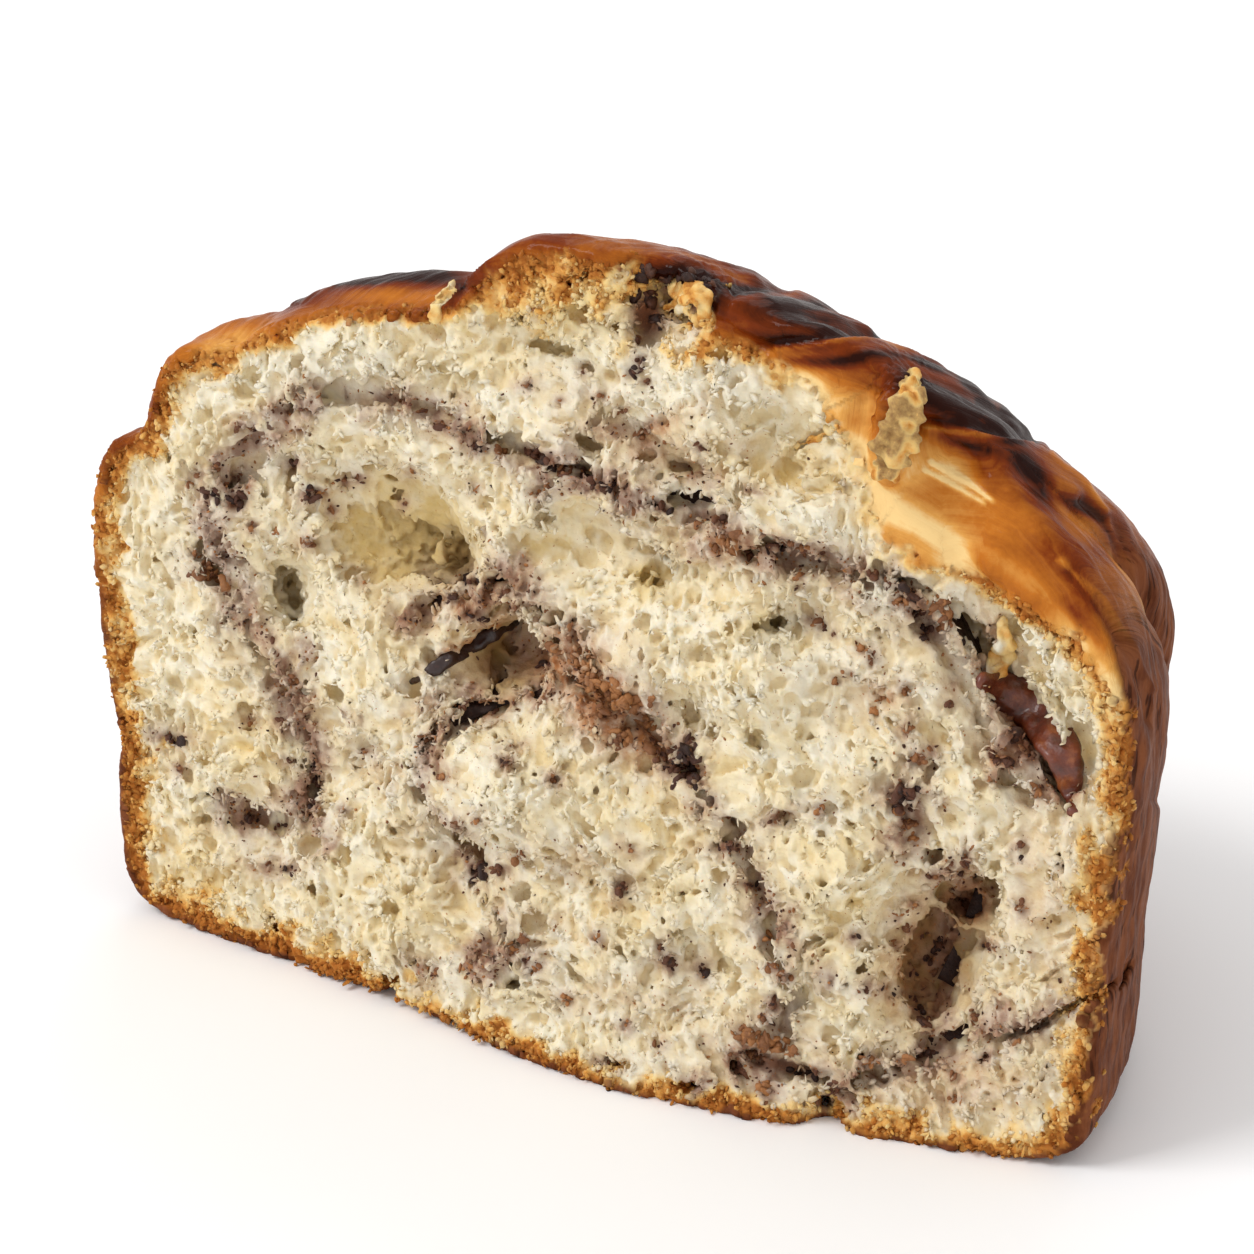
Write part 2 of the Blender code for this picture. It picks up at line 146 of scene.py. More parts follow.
def mesh_arrays(mesh):
    """Points in millimetres, triangles."""
    points = np.empty(len(mesh.vertices) * 3, np.float32)
    mesh.vertices.foreach_get("co", points)
    mesh.calc_loop_triangles()
    faces = np.empty(len(mesh.loop_triangles) * 3, np.int32)
    mesh.loop_triangles.foreach_get("vertices", faces)
    return points.reshape(-1, 3) / MM, faces.reshape(-1, 3)


body_shape = merged_copy("brioche")
for swirl in SWIRLS:
    swollen = merged_copy(swirl, SWIRL_SWELL)
    sheet = bpy.data.meshes.new("swollen")
    swollen.to_mesh(sheet)
    swollen.free()
    body_shape.from_mesh(sheet)
body = as_object("body", body_shape)
remesh = body.modifiers.new("remesh", "REMESH")
remesh.mode = "VOXEL"
remesh.voxel_size = BODY_VOXEL * MM
soften = body.modifiers.new("soften", "SMOOTH")
soften.factor = 0.5
soften.iterations = 9
body_mesh = taken_mesh(body)
body_points, body_faces = mesh_arrays(body_mesh)
body_tree = BVHTree.FromPolygons(body_points.tolist(), body_faces.tolist())
print("dough skin:", len(body_faces), "triangles")

# %% [markdown]
# Crumb is a foam, and a tear opens its bubbles and leaves lips and threads that overlap. No push along a
# normal gives an overhang, so the dough becomes a field of distances to its skin on a fine grid of cells,
# negative inside. Bubbles are then taken out of that field, and a skin is drawn where it passes zero.
# %% Distances on a grid
CELL = 0.30
GRID_MARGIN = 9
FIELD_REACH = 11
grid_low = np.floor(body_points.min(0) / CELL).astype(int) - GRID_MARGIN
grid_high = np.ceil(body_points.max(0) / CELL).astype(int) + GRID_MARGIN
grid_shape = tuple(grid_high - grid_low)


def distance_field(points, faces):
    """Signed distance to a closed mesh in millimetres, on the cells of the grid."""
    grid = openvdb.FloatGrid.createLevelSetFromPolygons(
        points.astype(np.float32), triangles=faces.astype(np.uint32),
        transform=openvdb.createLinearTransform(voxelSize=CELL), halfWidth=FIELD_REACH)
    field = np.empty(grid_shape, np.float32)
    grid.copyToArray(field, ijk=tuple(int(v) for v in grid_low))
    return field


def grid_read(field, points):
    """Values of a grid at points in millimetres."""
    place = np.clip(points / CELL - grid_low, 0, np.array(field.shape) - 2)
    low = np.floor(place).astype(int)
    share = (place - low).astype(np.float32)
    total = np.zeros(len(points), np.float32)
    for corner in np.ndindex(2, 2, 2):
        weight = np.prod(np.where(corner, share, 1 - share), axis=1)
        total += weight * field[tuple((low + corner).T)]
    return total


def blurred(field, reach, rounds=2):
    """The field averaged over a box of cells, which is done in turn along each axis."""
    half = max(1, int(round(reach / CELL)))
    for axis in (0, 1, 2) * rounds:
        padded = np.pad(field, [(half + 1, half) if a == axis else (0, 0) for a in range(3)], mode="edge")
        sums = np.cumsum(padded, axis=axis, dtype=np.float32)
        width = 2 * half + 1
        ahead = np.take(sums, range(width, sums.shape[axis]), axis=axis)
        behind = np.take(sums, range(0, sums.shape[axis] - width), axis=axis)
        field = (ahead - behind) / width
    return field


dough = distance_field(body_points, body_faces)
print("cells:", dough.size, "inside share:", round(float((dough < 0).mean()), 3))

# %% [markdown]
# Cloudy noise is needed everywhere: for clumps, shreds, grains and wrinkles. Random numbers are filtered
# to one size of lump, which can be stretched along an axis, and the block repeats without a seam.
# %% Noise blocks
NOISE_CELLS = 128


def noise_block(lump, stretch=(1.0, 1.0, 1.0), seed=0, spread=0.42):
    """A repeating block of soft noise, lumps of this size in millimetres, with a spread of one."""
    white = np.random.default_rng(seed).standard_normal((NOISE_CELLS,) * 3).astype(np.float32)
    waves = np.meshgrid(*(np.fft.fftfreq(NOISE_CELLS) * s for s in stretch), indexing="ij")
    size = np.sqrt(sum(w * w for w in waves)) * (2 * lump / CELL)
    kept = np.exp(-((size - 1.0) / spread) ** 2)
    field = np.fft.ifftn(np.fft.fftn(white) * kept).real.astype(np.float32)
    return field / field.std()


def noise_read(block, points):
    """Values of a noise block at points in millimetres."""
    place = points / CELL
    low = np.floor(place).astype(int)
    share = (place - low).astype(np.float32)
    total = np.zeros(len(points), np.float32)
    for corner in np.ndindex(2, 2, 2):
        weight = np.prod(np.where(corner, share, 1 - share), axis=1)
        total += weight * block[tuple(((low + corner) % NOISE_CELLS).T)]
    return total


def noise_cells(block, low, shape):
    """The block repeated over a box of cells that starts at this cell."""
    picks = [np.arange(start, start + count) % NOISE_CELLS for start, count in zip(low, shape)]
    return block[np.ix_(*picks)]


def pulled_cells(block, low, shape, reach):
    """The block over a box of cells, its lumps pulled out of line by broader noise."""
    picks = []
    for axis, shift in enumerate(((0, 0, 0), (37, 11, 53), (71, 29, 17))):
        pull = np.rint(noise_cells(BROAD, low + np.array(shift), shape) * reach / CELL).astype(np.int32)
        run = np.arange(low[axis], low[axis] + shape[axis], dtype=np.int32)
        pull += run.reshape([-1 if a == axis else 1 for a in range(3)])
        picks.append(pull % NOISE_CELLS)
    return block[tuple(picks)]


CLUMPS = noise_block(2.0, seed=1)
SHREDS = noise_block(1.3, stretch=(0.45, 1.0, 1.5), seed=2)
FRILLS = noise_block(0.75, stretch=(0.8, 1.0, 1.2), seed=3)
GRAINS = noise_block(0.55, seed=4)
BROAD = noise_block(5.5, seed=5)
FINE_LUMPS = noise_block(1.0, seed=7)
print("noise blocks:", NOISE_CELLS, "cells across,", round(NOISE_CELLS * CELL, 1), "mm")

# %% [markdown]
# The tear ends at the crust, and the crust colours the crumb next to it. The outline of the tear is found
# by looking in from outside at the dough just behind the tear, all round. On the upper right the crust
# rolls back from its own edge, which is followed instead.
# %% Outline of the tear
CORE = np.array([0.15, 38.0])
OUTLINE_STEPS = 120
LOOK_FROM = 95.0
BEHIND_TEAR = 3.0
SHOULDER_EDGE = np.array([(15.15, 79.0), (25.05, 75.2), (28.65, 70.5), (32.65, 62.8), (37.55, 60.3),
                          (45.65, 58.6), (53.25, 54.9), (57.65, 48.5)])


def angle_of(place):
    return math.atan2(place[1] - CORE[1], place[0] - CORE[0])


shoulder_from, shoulder_to = angle_of(SHOULDER_EDGE[-1]), angle_of(SHOULDER_EDGE[0])
outline = []
for step in range(OUTLINE_STEPS):
    angle = -math.pi + 2 * math.pi * step / OUTLINE_STEPS
    if shoulder_from < angle < shoulder_to:
        continue
    outward = Vector((math.cos(angle), 0.0, math.sin(angle)))
    start = Vector((CORE[0], TEAR_Y + BEHIND_TEAR, CORE[1])) + outward * LOOK_FROM
    hit = body_tree.ray_cast(start, -outward)[0]
    outline.append((angle, hit.x, hit.z))
outline += [(angle_of(corner), *corner) for corner in SHOULDER_EDGE]
outline = np.array([(x, z) for _, x, z in sorted(outline)])


def rim_inset(x, z):
    """How far inside the tear's outline a place across and up the loaf is; negative outside."""
    best = np.full(x.shape, 1e9, np.float32)
    inside = np.zeros(x.shape, bool)
    for (ax, az), (bx, bz) in zip(outline, np.roll(outline, -1, axis=0)):
        run_x, run_z = bx - ax, bz - az
        along = np.clip(((x - ax) * run_x + (z - az) * run_z) / (run_x ** 2 + run_z ** 2), 0, 1)
        best = np.minimum(best, np.hypot(x - ax - along * run_x, z - az - along * run_z))
        if abs(run_z) > 1e-6:
            crosses = (az > z) != (bz > z)
            inside ^= crosses & (x < ax + (z - az) * run_x / run_z)
    return np.where(inside, best, -best)


print("outline of the tear:", len(outline), "corners")

# %% [markdown]
# Now the crumb is opened. Only cells near the tear are worked on. Sheets of noise that cross zero make
# walls between pits, as in a foam, and broader noise pulls them out of line so that no two pits match. In
# the large hollows the dough was stretched smooth, so the noise is weaker there. It fades towards the crust,
# where the crumb is close and grainy.
# %% Open the crumb
TORN_DEPTH = 17.0
FOOT_BULGE = (9.15, 9.4, 38.0, 72.0)
NOISE_PULL = 1.5
front_cells = int((TEAR_Y + TORN_DEPTH) / CELL) - grid_low[1]
front = dough[:, :front_cells, :].copy()
front_shape = front.shape
cell_x = (np.arange(front_shape[0]) + grid_low[0]) * CELL
cell_y = (np.arange(front_shape[1]) + grid_low[1]) * CELL
cell_z = (np.arange(front_shape[2]) + grid_low[2]) * CELL
plan_x, plan_z = np.meshgrid(cell_x, cell_z, indexing="ij")
inset_plan = rim_inset(plan_x, plan_z).astype(np.float32)


def ramp(value, low, high):
    share = np.clip((value - low) / (high - low), 0, 1)
    return share * share * (3 - 2 * share)


def plain_tear(x, z):
    """How far behind its plane the torn face lies where there is no hollow."""
    middle, bulge, width, height = FOOT_BULGE
    return -bulge * np.exp(-((x - middle) / width) ** 2) * np.clip(1 - z / height, 0, 1)


back_fade = 1 - ramp(cell_y, TEAR_Y + TORN_DEPTH - 5, TEAR_Y + TORN_DEPTH - 1)
needed_inset = 0.8 + 0.3 * np.clip(cell_y - TEAR_Y - 1, 0, None)
spare_inset = inset_plan[:, None, :] - needed_inset[None, :, None]
open_crumb = ramp(spare_inset, 0.0, 2.8) * back_fade[None, :, None]
near_rim = ramp(spare_inset, -0.8, 0.2) * back_fade[None, :, None]
stretched = ramp(cell_y[None, :, None] - TEAR_Y - plain_tear(plan_x, plan_z)[:, None, :], 1.8, 5.0)
clumps = pulled_cells(CLUMPS, grid_low, front_shape, NOISE_PULL)
shreds = pulled_cells(SHREDS, grid_low, front_shape, NOISE_PULL)
frills = pulled_cells(FRILLS, grid_low, front_shape, 0.6 * NOISE_PULL)
grains = noise_cells(GRAINS, grid_low, front_shape)
broad = noise_cells(BROAD, grid_low + np.array([19, 5, 43]), front_shape)
torn = 0.52 * np.abs(clumps) + 0.40 * np.abs(shreds) + 0.14 * frills + 0.40 * broad - 0.49
front += open_crumb * torn * (1 - 0.75 * stretched)
front += (near_rim - open_crumb) * (0.25 * grains + 0.16 * frills)
print("front cells:", front.size)

# %% [markdown]
# Egg-shaped bubbles make the larger holes. Most are scattered at random over the tear; the ones that the
# picture shows are set where they are, by pixel, with their half widths in pixels and their depth.
# %% Bubbles
BUBBLE_SIZES = ((560, 0.5, 0.8), (190, 0.8, 1.3), (24, 1.3, 1.8))
BUBBLE_WALL = 0.18
PITS = (
    (692, 715, 8, 12, 20, 2.0), (711, 733, 8, 6, 0, 1.8), (588, 443, 20, 8, 25, 3.0),
    (684, 466, 26, 9, 12, 2.6), (775, 624, 22, 8, -20, 2.4), (697, 653, 20, 10, 10, 2.4),
    (288, 592, 16, 36, -12, 4.2), (285, 476, 15, 28, 10, 2.8), (967, 905, 20, 17, 0, 6.0),
    (932, 962, 34, 62, 8, 4.5), (788, 818, 9, 9, 0, 2.4), (719, 966, 10, 11, 0, 2.2),
    (848, 803, 8, 6, 0, 1.6), (313, 846, 14, 9, 0, 2.2), (680, 300, 42, 24, 20, 2.8),
    (650, 330, 20, 16, 60, 2.0), (555, 348, 22, 8, 8, 1.8), (540, 545, 30, 16, 25, 1.6),
    (584, 560, 16, 14, 0, 1.6), (657, 581, 22, 11, 25, 2.6), (1020, 700, 62, 24, 57, 5.5),
    (982, 640, 40, 15, 50, 5.0), (1058, 775, 36, 10, 70, 4.0), (915, 585, 26, 6, 30, 2.0),
    (962, 612, 16, 6, 45, 2.4), (826, 1102, 9, 11, 0, 3.2), (640, 880, 20, 5, 10, 1.4),
    (698, 892, 18, 5, -8, 1.8), (476, 872, 12, 9, 0, 2.0), (760, 1058, 30, 12, -5, 2.2),
    (800, 1073, 24, 8, 12, 2.6), (930, 1046, 14, 10, 30, 2.6), (614, 1062, 18, 4, 6, 1.8),
    (690, 1085, 16, 4, -4, 1.8), (246, 822, 18, 8, -8, 1.6), (314, 780, 8, 26, 8, 2.0),
    (214, 572, 16, 14, 0, 1.8), (822, 551, 26, 10, 14, 2.6), (775, 543, 18, 8, 10, 2.2),
    (388, 548, 74, 44, 14, 1.9), (462, 560, 26, 34, -10, 2.4), (500, 610, 30, 12, -20, 2.6),
    (545, 615, 24, 10, 10, 2.6), (470, 645, 26, 7, -34, 2.0))
CRACK = ((1008, 1037), (1040, 1026), (1070, 1008), (1098, 992), (1118, 982), (1134, 966), (1146, 950))
near_tear = np.flatnonzero(body_points[:, 1] < TEAR_Y + TORN_DEPTH - 3)
tear_inset = rim_inset(body_points[near_tear, 0], body_points[near_tear, 2])
near_tear = near_tear[tear_inset > 2.0 + 0.3 * np.clip(body_points[near_tear, 1] - TEAR_Y, 0, None)]


def carve(field, centre, radii, turn, rough):
    """Takes an egg-shaped bubble with this centre, radii and turn matrix out of the field."""
    reach = float(max(radii)) * 1.25
    start = np.maximum(np.floor((centre - reach) / CELL).astype(int) - grid_low, 0)
    end = np.minimum(np.ceil((centre + reach) / CELL).astype(int) - grid_low + 1, field.shape)
    if np.any(end - start < 2):
        return
    axes = [(np.arange(s, e) + g) * CELL - c for s, e, g, c in zip(start, end, grid_low, centre)]
    gx, gy, gz = np.meshgrid(*axes, indexing="ij")
    local = [(gx * row[0] + gy * row[1] + gz * row[2]) / radius for row, radius in zip(turn, radii)]
    distance = (np.sqrt(sum(part * part for part in local)) - 1) * float(min(radii))
    window = tuple(slice(s, e) for s, e in zip(start, end))
    distance = distance + rough * (frills[window] + clumps[window])
    field[window] = np.maximum(field[window], -distance)


def random_turn():
    return np.linalg.qr(rng.standard_normal((3, 3)))[0]


def picture_turn(tilt):
    """Axes along and across a line of the picture with this tilt, and out towards the camera."""
    turn = math.radians(tilt)
    along = camera_right * math.cos(turn) - camera_up * math.sin(turn)
    return np.stack([along, np.cross(toward_camera, along), toward_camera])


def body_place(x, y):
    hit = body_tree.ray_cast(Vector(camera_place), sight_line(x, y))[0]
    return None if hit is None else np.array(hit)


for count, smallest, largest in BUBBLE_SIZES:
    for pick in rng.choice(near_tear, count):
        size = rng.uniform(smallest, largest)
        radii = size * rng.uniform(0.55, 1.45, 3)
        depth = rng.uniform(-0.3, 0.9) * size
        centre = body_points[pick] + np.array([0, depth, 0]) + rng.normal(0, 0.2, 3)
        carve(front, centre, radii, random_turn(), 0.6 * BUBBLE_WALL)
PIXELS_PER_MM = FOCAL_PIXELS / CAMERA_DISTANCE
for x, y, half_long, half_wide, tilt, depth in PITS:
    place = body_place(x, y)
    if place is not None:
        radii = np.array([half_long / PIXELS_PER_MM, half_wide / PIXELS_PER_MM, depth])
        carve(front, place - toward_camera * 0.15 * depth, radii, picture_turn(tilt), BUBBLE_WALL)
for (ax, ay), (bx, by) in zip(CRACK, CRACK[1:]):
    start, end = body_place(ax, ay), body_place(bx, by)
    if start is not None and end is not None:
        tilt = math.degrees(math.atan2(by - ay, bx - ax))
        radii = np.array([0.8 * np.linalg.norm(end - start), 0.5, 3.2])
        carve(front, (start + end) / 2, radii, picture_turn(tilt), 0.05)
print("bubbles:", sum(row[0] for row in BUBBLE_SIZES), "at random,", len(PITS), "placed")

# %% [markdown]
# The filling has soaked the crumb beside it and left gaps where it melted. Along the front of each sheet
# the dough is parted in patches, so that the filling shows in a broken line of lumps.
# %% Part the crumb along the filling
PART_DEPTH = 3.2
swirl_field = np.full(grid_shape, FIELD_REACH * CELL, np.float32)
for swirl in SWIRLS:
    shape = merged_copy(swirl)
    mesh = bpy.data.meshes.new("sheet")
    shape.to_mesh(mesh)
    shape.free()
    swirl_field = np.minimum(swirl_field, distance_field(*mesh_arrays(mesh)))
swirl_front = swirl_field[:, :front_cells, :]
parted = np.minimum(-(swirl_front + 0.35 + 0.45 * clumps - 0.9 * ramp(broad, -0.3, 0.9)),
                    dough[:, :front_cells, :] + PART_DEPTH)
front = np.where(open_crumb > 0.3, np.maximum(front, parted), front)
field = dough.copy()
field[:, :front_cells, :] = front
print("parted cells:", int((parted > 0).sum()))

# %% [markdown]
# The skin of the opened dough is drawn where the field is zero. It stays one mesh for now, so that its
# normals agree wherever it is cut into pieces at the end.
# %% Draw the skin
def drawn_skin(values):
    """Points in millimetres and four-sided faces of the surface where the field is zero, facing out."""
    grid = openvdb.FloatGrid(float(FIELD_REACH * CELL))
    grid.copyFromArray(values, ijk=tuple(int(v) for v in grid_low))
    grid.transform = openvdb.createLinearTransform(voxelSize=CELL)
    points, faces = grid.convertToQuads(isovalue=0.0)
    points, faces = np.array(points, np.float64), np.array(faces, np.int64)
    a, b, c, d = (points[faces[:, i]] for i in range(4))
    volume = np.einsum("ij,ij->i", a, np.cross(b, c)).sum() + np.einsum("ij,ij->i", a, np.cross(c, d)).sum()
    return points, faces[:, ::-1] if volume < 0 else faces


def main_shell(points, faces):
    """Only the largest connected skin, without crumbs that float or bubbles that are closed."""
    parent = np.arange(len(points))
    edges = np.concatenate([faces[:, [0, 1]], faces[:, [1, 2]], faces[:, [2, 3]]])
    while True:
        lowest = np.minimum(parent[edges[:, 0]], parent[edges[:, 1]])
        before = parent.copy()
        np.minimum.at(parent, edges[:, 0], lowest)
        np.minimum.at(parent, edges[:, 1], lowest)
        parent = parent[parent]
        if np.array_equal(before, parent):
            break
    names, counts = np.unique(parent, return_counts=True)
    kept = parent == names[counts.argmax()]
    order = np.cumsum(kept) - 1
    return points[kept], order[faces[kept[faces[:, 0]]]]


skin_points, skin_faces = main_shell(*drawn_skin(field))
print("skin:", len(skin_points), "points,", len(skin_faces), "faces")

# %% [markdown]
# A finish has to know where it is on the food. Each point of the skin gets numbers for this: whether it is
# crust, how near the toasted rim it is, how deep in a hollow, how much cocoa has soaked in, and whether it
# stands on a crest. They are measured from the field and from the places of the sheets of filling.
# %% Measure the skin
CREST_BLUR = 2.6
RIDGE_BLUR = 0.9


def point_normals(points, faces):
    across = np.cross(points[faces[:, 2]] - points[faces[:, 0]], points[faces[:, 3]] - points[faces[:, 1]])
    normals = np.zeros_like(points)
    for i in range(4):
        np.add.at(normals, faces[:, i], across)
    return normals / np.maximum(np.linalg.norm(normals, axis=1, keepdims=True), 1e-12)


skin_normals = point_normals(skin_points, skin_faces)
inset = rim_inset(skin_points[:, 0], skin_points[:, 2])
behind = skin_points[:, 1] - TEAR_Y
foot_inset = np.minimum(inset, skin_points[:, 2] + 0.2)
past_crust = foot_inset - 0.5 - 0.3 * np.clip(behind - 1, 0, None)
ragged = 0.35 * noise_read(CLUMPS, skin_points) + 0.3 * noise_read(GRAINS, skin_points)
crust = 1 - ramp(past_crust + ragged, -0.3, 0.5)
crust[behind > TORN_DEPTH] = 1
crest = grid_read(blurred(dough, CREST_BLUR) - dough, skin_points)
ridge = grid_read(blurred(front, RIDGE_BLUR, 1) - front, skin_points)
hollow = ramp(behind - plain_tear(skin_points[:, 0], skin_points[:, 2]), 2.5, 9.0) * (1 - crust)
picture_x, picture_y = picture_place(skin_points)
print("crust share:", round(float(crust.mean()), 2), "crest:", np.round(np.percentile(crest, (2, 50, 98)), 2))

# %% [markdown]
# Where the filling runs, cocoa has soaked into the crumb as a mauve-grey band with darker brown in it.
# Its lines are followed in the picture, because the tear crosses the sheets at a slant. Some patches lie
# away from them: caramel-brown crumb where filling melted, and yellow that is partly where the dough is
# rich in egg and partly painted shade in hollows and pits. Hollows and slits also get a darker painted
# shade of yellow, and slits and holes get the cocoa colour as painted shade.
# %% Stains of the crumb
SWIRL_LINES = {
    "chocolate_swirl_outer": ((240, 822), (300, 820), (318, 760), (285, 690), (262, 640), (215, 580),
                              (205, 530), (222, 480), (262, 425), (330, 395), (400, 402), (470, 435),
                              (540, 468), (620, 490), (700, 515), (740, 540), (800, 555), (870, 570),
                              (930, 620), (975, 690), (1010, 750), (1065, 790)),
    "chocolate_swirl_core": ((410, 612), (470, 590), (520, 575), (545, 640), (580, 690), (640, 720),
                             (685, 765), (720, 810), (740, 850), (770, 905), (790, 980), (780, 1040)),
    "chocolate_swirl_left": ((545, 690), (480, 705), (425, 740), (440, 800), (475, 860), (500, 900),
                             (520, 950), (430, 965)),
    "chocolate_swirl_right": ((910, 795), (925, 850), (960, 880), (940, 960), (930, 1050)),
    "chocolate_swirl_base": ((700, 1085), (745, 1060), (800, 1075), (850, 1090), (930, 1050), (1000, 1030),
                             (1060, 1010)),
}
MAUVE_PATCHES = (
    (635, 440, 62, 20, 20, 0.8), (690, 470, 50, 16, 18, 0.7), (590, 400, 60, 26, 8, 0.5),
    (270, 864, 36, 15, 0, 0.8), (860, 600, 60, 16, 35, 0.7), (920, 620, 26, 34, 20, 0.8),
    (455, 600, 60, 26, -8, 0.7), (450, 690, 60, 20, -35, 0.6), (870, 680, 40, 18, 30, 0.4),
    (765, 920, 26, 70, -10, 0.5), (480, 870, 40, 30, 0, 0.5), (700, 540, 60, 22, 15, 0.8),
    (1010, 720, 70, 20, 57, 0.9), (975, 660, 40, 14, 50, 0.8), (740, 450, 40, 14, 10, 0.4),
    (240, 600, 30, 60, -20, 0.7), (310, 790, 16, 60, 0, 0.7), (235, 480, 30, 50, 20, 0.6),
    (520, 940, 40, 40, 0, 0.55), (640, 1000, 90, 26, 10, 0.35), (760, 1045, 60, 26, 5, 0.8),
    (900, 1062, 80, 18, -6, 0.7), (560, 860, 70, 26, 20, 0.4), (860, 690, 50, 40, 0, 0.35),
    (620, 640, 60, 20, 35, 0.25), (940, 1000, 46, 46, 0, 0.5), (395, 775, 70, 26, 30, 0.4),
    (430, 830, 40, 30, 0, 0.4))
CARAMEL_PATCHES = (
    (560, 668, 30, 30, 0, 0.8), (600, 705, 52, 34, 45, 1.0), (640, 742, 40, 22, 40, 0.9),
    (470, 640, 66, 9, -32, 0.8), (725, 548, 34, 14, 10, 0.6), (500, 705, 34, 10, -20, 0.6),
    (910, 980, 30, 44, 0, 0.6), (965, 905, 26, 26, 0, 0.7), (880, 695, 20, 12, 20, 0.6),
    (1000, 757, 22, 12, 25, 0.8), (640, 450, 50, 14, 20, 0.35), (700, 300, 24, 34, 0, 0.7),
    (1000, 640, 14, 30, -30, 0.8), (580, 660, 34, 26, 40, 0.8), (470, 600, 50, 16, -20, 0.5),
    (660, 430, 60, 12, -30, 0.5), (925, 960, 36, 60, 6, 0.5), (1046, 890, 40, 110, 4, 0.26),
    (985, 1085, 90, 34, -8, 0.34), (900, 1100, 70, 16, 4, 0.2))
# Yellow patches: partly the egg colour of the dough, partly painted shade where they lie in hollows and pits.
YELLOW_AND_SHADE_PATCHES = ((405, 540, 70, 54, 0, 1.0), (548, 545, 32, 20, 20, 0.5), (645, 583, 24, 18, 30, 0.9),
                  (560, 310, 110, 34, -6, 0.6), (500, 660, 34, 46, 0, 1.0), (790, 470, 110, 26, 12, 0.5),
                  (250, 740, 50, 60, 0, 0.5), (700, 820, 80, 60, 0, 0.35), (930, 970, 46, 90, 0, 0.9),
                  (850, 900, 60, 60, 0, 0.35), (420, 900, 70, 50, 0, 0.3), (880, 500, 60, 24, 20, 0.6),
                  (620, 880, 60, 60, 0, 0.3), (200, 860, 40, 50, 0, 0.5), (757, 624, 30, 10, -20, 0.9))
WHITE_PATCHES = (
    (560, 540, 60, 18, 40, 0.5), (450, 490, 60, 20, 30, 0.6), (700, 390, 90, 40, 12, 0.9),
    (860, 530, 90, 26, 22, 1.0), (960, 600, 60, 20, 40, 0.8), (263, 841, 24, 14, 0, 1.0),
    (300, 600, 30, 30, 0, 0.6), (830, 680, 60, 70, 0, 0.6), (318, 368, 90, 20, -6, 1.0),
    (560, 600, 40, 40, 0, 0.5), (1010, 860, 40, 60, 0, 0.4), (180, 600, 50, 90, 0, 0.4),
    (480, 830, 30, 24, 0, 0.6), (760, 390, 60, 40, 20, 0.7))
# Darker yellow painted deep in hollows, slits and pits: painted shade.
HOLLOW_SHADE_PATCHES = (
    (500, 668, 30, 32, 0, 1.1), (932, 960, 34, 66, 8, 1.0), (968, 905, 22, 20, 0, 1.0),
    (1016, 716, 62, 16, 57, 0.9), (462, 556, 28, 40, 10, 0.6), (288, 592, 16, 36, -12, 0.4),
    (588, 443, 22, 9, 25, 0.7), (684, 466, 26, 9, 12, 0.5), (820, 551, 30, 10, 12, 0.8),
    (780, 624, 20, 7, -20, 0.4), (965, 615, 14, 20, 40, 0.6))
# Cocoa colour painted into slits and holes as painted shade; at the crown it is partly filling in the gap.
GAP_FILLING_AND_SHADE_PATCHES = ((690, 292, 44, 24, 12, 1.0), (648, 315, 20, 30, 0, 1.0), (1016, 716, 60, 13, 57, 1.0),
               (1022, 746, 30, 10, 46, 1.0), (826, 1102, 9, 12, 0, 1.0), (968, 905, 18, 15, 0, 1.0),
               (785, 1066, 50, 9, 14, 0.9))
STAIN_WIDTH = 21.0
TOAST_REACH = (
    (-180, 3.6), (-150, 4.6), (-128, 4.6), (-110, 2.6), (-60, 2.3), (-40, 3.6), (0, 3.0), (24, 2.4),
    (32, 2.2), (52, 2.2), (66, 3.0), (78, 5.6), (100, 7.6), (107, 1.6), (128, 1.4), (150, 2.8), (180, 3.6))
